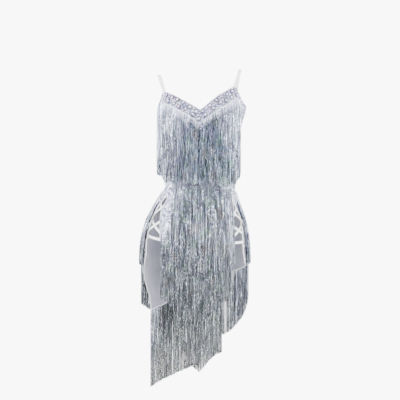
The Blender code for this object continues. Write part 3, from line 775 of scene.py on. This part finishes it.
def scatter_maker():
    """Copies of a shape strewn evenly over a mesh where its "bare" attribute allows, each a little askew."""
    maker = Maker("scatter", Spacing=0.0036, Density=120000.0, Size=0.0016, Askew=0.25, Seed=1)
    given, seed, index = maker.given, maker.given["Seed"], maker.geo("InputIndex")
    strewn = maker.geo(
        "DistributePointsOnFaces", given["Geometry"], Distance_Min=given["Spacing"],
        Density_Max=given["Density"], Density_Factor=maker.named("bare"), Seed=seed,
        distribute_method="POISSON",
    )
    low, high = given["Askew"] * -1.0, given["Askew"]
    leans = [maker.random(low, high, index, seed + step) for step in (3, 5)]
    lean = maker.xyz(*leans, maker.random(0.0, math.tau, index, seed + 7))
    size = given["Size"] * maker.random(0.8, 1.2, index, seed + 9)
    maker.set_copies(strewn, strewn.at("Rotation"), maker.node("FunctionNodeEulerToRotation", lean), size)
    return maker


# ================================================================ finishes
class Finish(Nodes):
    """A material. What is the same all over is set on its shader; the rest is worked out by its nodes."""

    def __init__(self, name, **values):
        self.material = bpy.data.materials.new(name)
        self.material.use_nodes = True
        super().__init__(self.material.node_tree)
        self.inputs = self.tree.nodes["Principled BSDF"].inputs
        for label, value in values.items():
            self.inputs[label.replace("_", " ")].default_value = value

    def place(self):
        """Where a point lies on the object, in metres."""
        return self.shader("TexCoord").at("Object")

    def attribute(self, name):
        return self.shader("Attribute", attribute_name=name).at("Fac")

    def grain(self, scale, detail=2.0):
        return self.noise(self.place(), scale, detail)

    def cells(self, place, scale, channel=0):
        """(a random number for each small cell, how far a point lies from its middle)"""
        cell = self.shader("TexVoronoi", Vector=place, Scale=scale)
        return self.shader("SeparateColor", cell.at("Color")).at(channel), cell

    def paint(self, colour):
        self.feed(self.inputs["Base Color"], colour)

    def bump(self, height, strength, distance):
        bump = self.shader("Bump", Height=height, Strength=strength, Distance=distance)
        self.feed(self.inputs["Normal"], bump)


def silver_tinsel():
    """Crinkled strips of foil: a grey that changes down the dress as painted light and shade, rainbow
    patches, streaks, and flecks and sparkle that are painted glints.
    """
    foil = Finish("silver_tinsel", Roughness=0.27)
    patch = foil.noise(foil.shader("Mapping", foil.place(), Scale=(1.0, 1.0, 0.6)), 46.0, 0.8)
    hue = foil.ramp(
        patch, (0.28, 0.82, 1.12, 0.9), (0.38, 0.97, 1.02, 0.99), (0.44, 0.8, 0.92, 1.27), (0.5, 1.0),
        (0.56, 1.05, 0.86, 1.27), (0.62, 0.94, 1.07, 0.96), (0.72, 1.18, 0.94, 0.97),
    )
    tall = foil.shader("SeparateXYZ", foil.place()).at(2)
    height = tall * 1.05 + 1.1  # 0 is just below the lowest tips, and 1 just above the bust
    hue = foil.mix(height.between(0.3, 0.9), (1.0, 1.0, 1.0, 1.0), hue)
    # Painted light and shade: the grey darkens and lightens down the dress as the light falls on it, with a
    # slight warm painted reflection low down.
    grey = foil.ramp(
        height, (0.14, 0.255, 0.262, 0.25), (0.22, 0.23, 0.242, 0.238), (0.3, 0.185, 0.198, 0.198),
        (0.4, 0.156, 0.17, 0.177), (0.55, 0.2, 0.217, 0.233), (0.68, 0.206, 0.231, 0.252),
        (0.76, 0.104, 0.122, 0.139), (0.95, 0.096, 0.116, 0.137),
    )
    weave, shade = foil.attribute("streak"), foil.attribute("shade")
    streak = foil.ramp(
        weave, (0.28, 0.52, 0.53, 0.55), (0.42, 0.76, 0.77, 0.78), (0.54, 0.96, 0.96, 0.97), (0.7, 1.6)
    )
    # one crinkle after another along each strand, and none alike on its neighbours; the brightest crinkles
    # are painted glints
    crinkle, _ = foil.cells(foil.xyz(shade * 3000.0, 0.0, tall * 190.0), 1.0)
    painted_crinkle_glints = foil.ramp(
        crinkle, (0.0, 0.7, 0.7, 0.71), (0.5, 0.86, 0.86, 0.87), (0.8, 1.04), (0.97, 2.1)
    )
    glow = foil.ramp(shade, (0.0, 0.66), (0.6, 0.93), (1.0, 1.5))
    tint = foil.multiply(grey, hue, streak, painted_crinkle_glints, glow)
    # The pale part of each strand: partly the tinsel's own pale roots and partly painted light, with painted
    # highlights brighter than white along its streaks.
    white = foil.ramp(
        crinkle, (0.0, 0.24, 0.26, 0.42), (0.3, 0.72, 0.77, 1.0), (0.7, 1.1, 1.16, 1.3), (1.0, 1.6)
    )
    ripple = foil.ramp(weave, (0.34, 0.1, 0.11, 0.16), (0.45, 0.5, 0.52, 0.58), (0.56, 1.05), (0.7, 2.4))
    pale = foil.attribute("pale")
    tint = foil.mix(pale, tint, foil.multiply(white, ripple))
    # Painted sparkle: small cells of the tinsel, some brighter and some darker.
    facet, _ = foil.cells(foil.place(), 330.0, channel=1)
    painted_sparkle = foil.ramp(facet, (0.0, 0.76, 0.76, 0.78), (0.5, 0.95, 0.95, 0.96), (0.85, 1.1), (1.0, 1.4))
    foil.paint(foil.multiply(tint, painted_sparkle))
    foil.feed(foil.inputs["Metallic"], 0.9 - pale * 0.5)
    return foil.material


def sparkle_cloth():
    cloth = Finish("sparkle_cloth", Roughness=0.45, Metallic=0.1, Sheen_Weight=0.3, Sheen_Roughness=0.4)
    cell, distance = cloth.cells(cloth.place(), 900.0)
    glints = cloth.ramp(
        cell, (0.0, 0.34, 0.35, 0.48), (0.3, 0.52, 0.54, 0.66), (0.75, 0.64, 0.66, 0.77),
        (1.0, 0.9, 0.92, 1.0),
    )
    # Soft patches of lighter and darker cloth that go brighter than white: painted sparkle.
    clouds = cloth.ramp(
        cloth.grain(120.0),
        (0.38, 0.08, 0.09, 0.17), (0.46, 0.4, 0.42, 0.55), (0.55, 0.74, 0.73, 0.86), (0.65, 1.5),
    )
    cloth.paint(cloth.multiply(glints, clouds))
    cloth.bump(distance, 0.5, 0.0005)
    return cloth.material


def knit_wrong_side():
    """The plain inner side of the stretch cloth, with its fine ribs of stitches, painted dark grey-lilac as
    the shade inside the dress.
    """
    knit = Finish("knit_wrong_side", Roughness=0.8, Sheen_Weight=0.2)
    parts = knit.shader("SeparateXYZ", knit.place())
    ribs, loops = knit.math("SINE", parts * 2600.0), knit.math("SINE", parts.at(2) * 3400.0)
    relief = ribs * 0.3 + loops * 0.2
    # Painted shade: a dark grey-lilac for the shade inside the dress.
    tint = knit.ramp(relief + 0.5, (0.0, 0.24, 0.24, 0.3), (1.0, 0.38, 0.39, 0.45))
    clouds = knit.ramp(knit.grain(14.0, 4.0), (0.3, 0.8, 0.8, 0.84), (0.7, 1.1, 1.1, 1.08))
    knit.paint(knit.multiply(tint, clouds))
    knit.bump(relief, 0.4, 0.0004)
    return knit.material


def pearl_sequin():
    sequin = Finish("pearl_sequin", Metallic=0.85, Roughness=0.18, Coat_Weight=0.3)
    cell, _ = sequin.cells(sequin.place(), 300.0, channel=1)
    sequin.paint(sequin.ramp(
        cell, (0.0, 0.03, 0.03, 0.08), (0.26, 0.22, 0.23, 0.36), (0.4, 0.15, 0.22, 0.28),
        (0.54, 0.5, 0.52, 0.62), (0.74, 0.2, 0.16, 0.33), (0.86, 0.76, 0.76, 0.84), (1.0, 1.3),
    ))
    return sequin.material


def cut_stone():
    stone = Finish("cut_stone", Metallic=0.25, Roughness=0.07, Coat_Weight=0.6)
    cell, _ = stone.cells(stone.place(), 330.0)
    # Painted reflections: each small cell of a stone is a facet, painted dark and bright as if it mirrored
    # the room.
    painted_facet_reflections = stone.ramp(
        cell, (0.0, 0.03, 0.035, 0.07), (0.25, 0.1, 0.11, 0.18), (0.45, 0.34, 0.36, 0.48),
        (0.6, 0.12, 0.1, 0.24), (0.75, 0.55, 0.55, 0.62), (0.88, 0.14, 0.18, 0.22), (1.0, 0.95, 0.97, 1.0),
    )
    cast = stone.ramp(
        stone.grain(55.0, 0.0), (0.34, 1.0, 0.86, 0.62), (0.42, 0.95, 1.0, 1.05), (0.5, 0.74, 0.66, 1.25),
        (0.58, 0.9, 1.02, 1.06), (0.66, 1.25, 0.62, 1.05),
    )
    stone.paint(stone.multiply(painted_facet_reflections, cast))
    return stone.material


def satin_elastic():
    satin = Finish("satin_elastic", Roughness=0.42, Sheen_Weight=0.35, Sheen_Roughness=0.35)
    parts = satin.shader("SeparateXYZ", satin.shader("UVMap", uv_map="ribbon"))
    ribs, picks = satin.math("SINE", parts * 38.0), satin.math("SINE", parts.at(1) * 5200.0)
    weave = ribs * 0.35 + picks * 0.15
    satin.paint(satin.ramp(weave + 0.5, (0.0, 0.8, 0.83, 0.85), (1.0, 0.95, 0.96, 0.96)))
    satin.bump(weave, 0.6, 0.0004)
    return satin.material


def grained_finish(name, scale, detail, low, high, **values):
    """One colour that turns into another in soft grains."""
    finish = Finish(name, **values)
    finish.paint(finish.ramp(finish.grain(scale, detail), low, high))
    return finish.material


def thread_finish(name, scale, low, high):
    """Woven or twisted yarn, with a fine slanting grain."""
    yarn = Finish(name, Roughness=0.55, Sheen_Weight=0.25)
    grain = yarn.shader(
        "TexWave", Vector=yarn.place(), Scale=scale, Distortion=1.5, Detail=1.0, bands_direction="DIAGONAL"
    ).at(1)
    yarn.paint(yarn.ramp(grain, (0.0, *low), (1.0, *high)))
    yarn.bump(grain, 0.4, 0.0003)
    return yarn.material


# ================================================================ panels
def panel_grid(top, hem, edges, columns, rows):
    """(angles, heights) of a panel's grid. Its side edges keep a seam's gap."""
    corners = [across for across, _ in top]
    places = np.union1d(np.round(np.linspace(0, 1, columns), 4), corners)
    across, level = np.meshgrid(places, np.linspace(0, 1, rows))
    upper, lower = read_table(top, across), read_table(hem, across)
    heights = upper + (lower - upper) * level
    start, end = edges(heights)
    inset = np.degrees(SEAM_GAP / 2 / ring_radius(start, heights))
    return start + inset + (end - start - 2 * inset) * across, heights


BELOW_ROOT, ABOVE_HEM, WITHIN_ENDS = 3, 18, 1.5  # how far inside a row the cloth is surely hidden


def covered_by_fringe(side, angles, heights):
    """Where a row of fringe hides the cloth, between the lines that its two end strands fall down."""
    hidden = np.zeros(angles.shape, bool)
    for row in FRINGE:
        if row.panel != side:
            continue
        fall = fall_points(row)[0]
        below = heights < read_table(full_root(row), angles) - BELOW_ROOT
        inside = below & (heights > read_table(row.hem, angles) + ABOVE_HEM)
        for end, sign in ((fall[:, 0], 1), (fall[:, -1], -1)):
            turn = np.degrees(np.arctan2(end[:, 0] - read_figure(end[:, 2], FIGURE.centre), -end[:, 1]))
            limit = np.interp(-heights, -end[:, 2], turn % 360 if side == "back" else turn)
            inside &= sign * (angles - limit) > WITHIN_ENDS
        hidden |= inside
    return hidden


def add_edge_line(name, angles, heights, out=-WALL / 2):
    """A line of points along an edge of the cloth, which knows which way is outwards."""
    points = off_cloth(angles, heights, out)
    line = add_piece(name, points, [])
    line.data.edges.add(len(points) - 1)
    pairs = np.stack([np.arange(len(points) - 1), np.arange(1, len(points))], -1)
    line.data.edges.foreach_set("vertices", pairs.ravel())
    add_attribute(line, "outward", outward(angles, heights))
    return line


def add_panel(side, cut, kit):
    """(panel, its sequins), with the binding and stitches on its top edge, its hem and its slit edges."""
    name = side + "_panel"
    angles, heights = panel_grid(*cut)
    outer, inner = off_cloth(angles, heights, 0.0), off_cloth(angles, heights, -WALL)
    panel = add_shell(name + "_cloth", outer, inner, kit["cloth"], kit["wrong side"])
    finish_piece(panel, "sparkle_cloth", name)
    face, flake = add_piece(name + "_face", outer, grid_faces(*angles.shape)), gem("flake", FLAKE)
    add_attribute(face, "bare", 1.0 - covered_by_fringe(side, angles, heights))
    sequins = kit["scatter"].run(
        name + "_sequins", face, kit["sequin"], "sparkle_cloth", Shape=flake, Spacing=0.003, Size=0.0017,
        Seed=5,
    )
    discard(face, flake)

    lines = {"top": (angles[0], heights[0]), "hem": (angles[-1], heights[-1])}
    for label, column in (("slit_1", 0), ("slit_2", -1)):
        below = heights[:, column] < SLIT_TOP + 2
        lines[label] = angles[below, column], heights[below, column]
    for label, spots in lines.items():
        line = add_edge_line(f"{name}_{label}_line", *spots)
        kit["edging"].run(f"{name}_{label}_binding", line, kit["binding"], "white_elastic")
        kit["stitches"].run(f"{name}_{label}_stitches", line, kit["thread"], "white_elastic")
        discard(line)
    return panel, sequins


def add_side_seams(kit):
    for name, column in (("left", SIDE_EDGES.front_left), ("right", SIDE_EDGES.front_right)):
        heights = np.linspace(SEAM_TOP, SLIT_TOP, SEAM_POINTS)
        line = add_edge_line(name + "_seam_line", edge_angle(heights, column), heights, out=0.0)
        kit["stitches"].run(f"side_seam_{name}", line, kit["thread"], "white_elastic", Proud=0.0002)
        discard(line)


# ================================================================ neckline band
def neckline_height(angle):
    start, end = front_edges(-110.0)
    return read_table(FRONT_TOP, (angle - start) / (end - start))


def band_height(angle, share):
    """Height of a point on the band, from its upper edge (0) to its foot (1)."""
    return neckline_height(angle) - BAND_EDGE - read_table(BAND_DROP, angle) * share


def add_neckline_band(kit):
    """(band, its large stones), with their rims, the bright caps on their tables that are painted glints, and
    the small stones between them.
    """
    angles, share = np.meshgrid(np.linspace(BAND_FROM, BAND_TO, BAND_COLUMNS), np.linspace(0, 1, BAND_ROWS))
    heights = band_height(angles, share)
    outer, inner = off_cloth(angles, heights, SEAT + BAND_WALL), off_cloth(angles, heights, SEAT)
    band = add_shell("neckline_cloth", outer, inner, kit["cloth"])
    finish_piece(band, "stone_band", "neckline_band")

    draw = np.random.default_rng(7)
    column, row = np.meshgrid(np.arange(STONES_ALONG), np.arange(STONES_DOWN))
    angles = BAND_FROM + (BAND_TO - BAND_FROM) * (column + 0.5) / STONES_ALONG
    angles = angles + draw.uniform(-STONE_ASTRAY, STONE_ASTRAY, angles.shape)
    share = (row + 0.5) / STONES_DOWN + draw.uniform(-STONE_UP_OR_DOWN, STONE_UP_OR_DOWN, angles.shape)
    heights = band_height(angles, share)
    sizes = np.where((column + row) % 2, SMALL_STONE, LARGE_STONE)
    sizes = sizes * draw.uniform(LEAST_STONE, MOST_STONE, angles.shape)
    points = add_piece("stone_points", off_cloth(angles, heights, SEAT + BAND_WALL), [])
    add_attribute(points, "outward", outward(angles, heights))
    add_attribute(points, "size", sizes * MM / 2)
    add_attribute(points, "spin", draw.uniform(0, math.tau, angles.shape))
    stones = []
    for name, material, rings in STONE_PARTS:
        shape = gem(material, rings)
        stones.append(kit["settings"].run(name, points, kit[material], "stone_band", Shape=shape))
        discard(shape)

    face, chip = add_piece("band_face", outer, grid_faces(*outer.shape[:2])), gem("chip", CHIP)
    add_attribute(face, "bare", np.ones(outer.shape[:2]))
    kit["scatter"].run(
        "neckline_small_stones", face, kit["stone"], "stone_band", Shape=chip, Spacing=0.0033, Size=0.0014,
        Askew=0.15,
    )
    discard(points, face, chip)
    return band, stones[0]


# ================================================================ fringe
def full_root(row):
    """A row's root line. The front bust row's goes on just under the neckline band."""
    if row.name != "fringe_bust_front":
        return row.root
    steps = np.linspace(BAND_FROM, BAND_TO, STONES_ALONG + 1)
    return (*row.root, *((angle, band_height(angle, 1) - BAND_TO_FRINGE) for angle in steps))


def root_angles(root, count):
    """Angles at even distances along a root line."""
    fine = np.linspace(root[0][0], root[-1][0], ROOT_STEPS)
    along = distances(surface(fine, read_table(root, fine)))
    return np.interp(np.linspace(0, along[-1], count), along, fine)


SEARCH, HALVINGS, SMOOTHINGS = (-40.0, 160.0), 16, 3


def reach(start, direction, height):
    """How far from each start, along a level direction, the figure's surface lies at each height."""
    near, far = (np.full(height.shape, end) for end in SEARCH)
    centre = read_figure(height, FIGURE.centre)
    for _ in range(HALVINGS):
        middle = (near + far) / 2
        x = start[..., 0] + direction[..., 0] * middle - centre
        y = start[..., 1] + direction[..., 1] * middle
        inside = np.hypot(x, y) < ring_radius(np.degrees(np.arctan2(x, -y)), height)
        near, far = np.where(inside, middle, near), np.where(inside, far, middle)
    return far


def fall_points(row):
    """(points, directions, share) of the surface that a row's strands fall down.

    They lie on what bulges out and hang straight below it.
    """
    root = full_root(row)
    angles = root_angles(root, GUIDE_COLUMNS)
    top = read_table(root, angles) - STRAND_START
    tip = read_table(row.hem, angles) - LONGER
    share = np.linspace(0, 1, GUIDE_ROWS)[:, None]
    heights = top + (tip - top) * share
    turn = np.radians((1 - row.forward) * angles)
    fall = np.stack([np.sin(turn), -np.cos(turn), 0 * turn], -1)
    start = off_cloth(angles, top, STRAND_SEAT)
    clearance = np.minimum(row.clearance, STRAND_SEAT + (top - heights) * LIFT)
    out = reach(start[None], fall[None], heights) + clearance
    out[0] = 0.0
    out = np.maximum.accumulate(out, axis=0)
    for _ in range(SMOOTHINGS):
        out[1:-1] = (out[:-2] + 2 * out[1:-1] + out[2:]) / 4
    points = start[None] + fall[None] * out[..., None]
    points[..., 2] = heights
    return points, fall, share


def add_guide(row):
    """The mesh that a row's strands fall down, which knows its own map and which way is outwards."""
    points, fall, share = fall_points(row)
    guide = add_piece(row.name + "_guide", points, grid_faces(GUIDE_ROWS, GUIDE_COLUMNS))
    across, down = np.broadcast_arrays(np.linspace(0, 1, GUIDE_COLUMNS), share)
    add_attribute(guide, "guide", np.stack([across, down, 0 * across], -1))
    add_attribute(guide, "outward", np.broadcast_to(fall, points.shape))
    return guide


def add_tape(row, material):
    """The woven heading tape that a row of fringe is sewn on by."""
    root = full_root(row)
    angles, share = np.meshgrid(root_angles(root, TAPE_COLUMNS), np.linspace(0, 1, 5))
    heights = read_table(root, angles) - TAPE_HEIGHT * share
    bulge = TAPE_SEAT + TAPE_WALL * (0.55 + 0.45 * np.sin(np.pi * share))
    outer, inner = off_cloth(angles, heights, bulge), off_cloth(angles, heights, TAPE_SEAT / 2)
    return finish_piece(add_shell(row.name + "_tape", outer, inner, material), "silver_tinsel")


def add_fringe_row(row, seed, kit):
    guide, root = add_guide(row), full_root(row)
    spread = root[-1][0] - root[0][0]
    made = kit["fringe"].run(
        row.name + "_strands", guide, kit["tinsel"], "silver_tinsel", row.name, Strands=row.strands,
        Bunches=int(BUNCHES_PER_DEGREE * spread), Streaks=STREAKS_PER_DEGREE * spread, Uneven=row.ragged,
        Inside=INSIDE_SHARE * max(row.clearance - INSIDE_FROM, 0) * MM, Seed=seed,
    )
    discard(guide)
    fall, across, shade = (read_attribute(made, name) for name in ("fall", "across", "shade"))
    angles = np.interp(across, np.linspace(0, 1, GUIDE_COLUMNS), root_angles(root, GUIDE_COLUMNS))
    length = read_table(root, angles) - read_table(row.hem, angles) + LONGER
    # How far down each strand is pale: the tinsel's own pale roots, and painted light towards the ends of
    # rows and below the bust fringe.
    drop = fall * length / (read_table(row.pale, angles) * (PALE_LEAST + PALE_SPREAD * shade))
    pale = sum(share * np.clip(1.1 - speed * drop, 0, 1) for share, speed in PALE_PARTS)
    add_attribute(made, "pale", pale)
    return made, add_tape(row, kit["tape"])


# ================================================================ straps and laces
def add_strap(strap, material):
    """A strap, from inside the front panel over the shoulder to inside the back panel."""
    ends = []
    for middle, edges, top in ((strap.front, front_edges, FRONT_TOP), (strap.back, back_edges, BACK_TOP)):
        height = read_table(top, np.array([middle]))
        start, end = edges(height)
        angle = start + (end - start) * middle
        seat = -WALL - STRAP_WALL / 2 - STRAP_SEAT
        edge, tail = (off_cloth(angle, height - drop, seat)[0] for drop in (0.0, STRAP_TAIL))
        ends.append((edge, tail, outward(angle, height)[0]))
    (front_edge, front_tail, front_normal), (back_edge, back_tail, back_normal) = ends
    over = np.array(strap.over)
    path = catmull([front_tail, front_edge, *over[:, :3], back_edge, back_tail])
    normal = unit(catmull([front_normal, front_normal, *over[:, 3:], back_normal, back_normal]))
    made = add_ribbon(strap.name + "_satin", path, normal, STRAP_WIDTH, STRAP_WALL, material)
    finish_piece(made, "white_elastic", strap.name)


def add_lace(side, number, front_height, back_height, material):
    """A flat elastic from behind one edge of a slit to behind the other."""
    tuck = LACE_TUCK if side == "left" else -LACE_TUCK
    front_angle = edge_angle(front_height, getattr(SIDE_EDGES, "front_" + side)) + tuck
    back_angle = edge_angle(back_height, getattr(SIDE_EDGES, "back_" + side)) - tuck
    share = np.linspace(0, 1, LACE_POINTS)
    angles = front_angle + (back_angle - front_angle) * share
    heights = front_height + (back_height - front_height) * share
    normal = outward(angles, heights)
    dip = 0.0 if number % 2 else LACE_WALL + SEAT
    depth = WALL + LACE_SEAT + LACE_WALL / 2 + dip * np.sqrt(np.sin(np.pi * share))
    path = surface(angles, heights) - normal * depth[:, None]
    name = f"lace_{side}_{number}"
    made = add_ribbon(name + "_elastic", path, normal, LACE_WIDTH, LACE_WALL, material)
    finish_piece(made, "white_elastic", name)


# ================================================================ the dress
CUTS = {  # upper edge, hem, side edges, and columns and rows of the grid
    "front": (FRONT_TOP, FRONT_HEM, front_edges, 60, 118),
    "back": (BACK_TOP, BACK_HEM, back_edges, 104, 118),
}


def build_dress():
    kit = {
        "cloth": sparkle_cloth(), "wrong side": knit_wrong_side(), "satin": satin_elastic(),
        "tinsel": silver_tinsel(), "stone": cut_stone(), "sequin": pearl_sequin(),
        # Painted glint: the bright cap on each stone's table.
        "table": grained_finish(
            "stone_table", 220.0, 2.0, (0.35, 0.7, 0.72, 0.98), (0.65, 1.1, 1.1, 1.05), Roughness=0.12,
            Coat_Weight=1.0,
        ),
        "rim": grained_finish(
            "stone_rim", 500.0, 2.0, (0.3, 0.03, 0.03, 0.055), (0.7, 0.12, 0.12, 0.17), Metallic=0.6,
            Roughness=0.4,
        ),
        "binding": thread_finish("cream_binding", 240.0, (0.84, 0.83, 0.78), (0.95, 0.94, 0.9)),
        "thread": thread_finish("white_thread", 900.0, (0.8, 0.8, 0.82), (0.95, 0.95, 0.96)),
        "tape": thread_finish("heading_tape", 160.0, (0.66, 0.66, 0.74), (0.9, 0.9, 0.96)),
        "edging": edging_maker(), "stitches": stitch_maker(), "settings": setting_maker(),
        "scatter": scatter_maker(), "fringe": fringe_maker(),
    }
    panels, trim = {}, {}
    for side, cut in CUTS.items():
        panels[side], sequins = add_panel(side, cut, kit)
        trim[side] = [sequins]
    add_side_seams(kit)
    band, stones = add_neckline_band(kit)
    for strap in STRAPS:
        add_strap(strap, kit["satin"])
    for side, laces in LACES.items():
        for number, heights in enumerate(laces, start=1):
            add_lace(side, number, *heights, kit["satin"])
    for seed, row in enumerate(FRINGE, start=1):
        trim[row.panel] += add_fringe_row(row, seed, kit)


# ================================================================ studio
PICTURE_WIDTH = 1.24  # metres across the picture, at the dress
CAMERA_DISTANCE = 3.6
CAMERA_HEIGHT = -0.3968
SENSOR = 36.0
FLOOR, FLOOR_RADIUS = -1.36, 1.75
WHITE_WALL = (9.0, 9.0, 9.0, 1.0)
LAMPS = {  # where each lamp stands, its size and its power
    "key": ((-3.0, -4.6, 3.6), 1.6, 430),
    "fill": ((3.2, -5.2, 0.2), 1.8, 300),
    "low": ((0.6, -5.6, -1.0), 1.8, 190),
    "left_side": ((-5.0, -0.9, 0.6), 2.0, 640),
    "right_side": ((5.0, -0.9, 0.4), 2.0, 620),
    "back": ((1.2, 4.6, 2.4), 2.0, 620),
    "back_low": ((-1.4, 5.2, -0.2), 2.0, 560),
}


def build_studio():
    camera = bpy.data.cameras.new("camera")
    camera.sensor_width = SENSOR
    camera.lens = SENSOR * CAMERA_DISTANCE / PICTURE_WIDTH
    eye = place_object("camera", camera)
    eye.location = (0, -CAMERA_DISTANCE, CAMERA_HEIGHT)
    eye.rotation_euler = (math.radians(90), 0, 0)
    bpy.context.scene.camera = eye

    for name, (place, size, power) in LAMPS.items():
        light = bpy.data.lights.new(name, "AREA")
        light.size = size
        light.energy = power
        lamp = place_object(name, light)
        lamp.location = place
        aim = Vector((0, 0, CAMERA_HEIGHT)) - Vector(place)
        lamp.rotation_euler = aim.to_track_quat("-Z", "Y").to_euler()

    world = bpy.data.worlds.new("studio")
    bpy.context.scene.world = world
    world.use_nodes = True
    sky = Nodes(world.node_tree)
    above = sky.shader("SeparateXYZ", sky.shader("TexCoord").at("Generated")).at(2)
    room = sky.ramp(above, (0.0, 0.5, 0.51, 0.54), (0.25, 0.6, 0.61, 0.64), (0.7, 2.2, 2.2, 2.25))
    seen = sky.shader("LightPath").at("Is Camera Ray")
    sky.feed(world.node_tree.nodes["Background"].inputs["Color"], sky.mix(seen, room, WHITE_WALL))

    disc = bmesh.new()
    bmesh.ops.create_circle(disc, cap_ends=True, segments=96, radius=FLOOR_RADIUS)
    mesh = bpy.data.meshes.new("floor")
    disc.to_mesh(mesh)
    disc.free()
    mesh.materials.append(grained_finish("pale_floor", 3.0, 4.0, (0.3, 0.8), (0.7, 0.86), Roughness=0.7))
    floor = place_object("floor", mesh)
    floor.location = (0, 0, FLOOR)


build_dress()
build_studio()
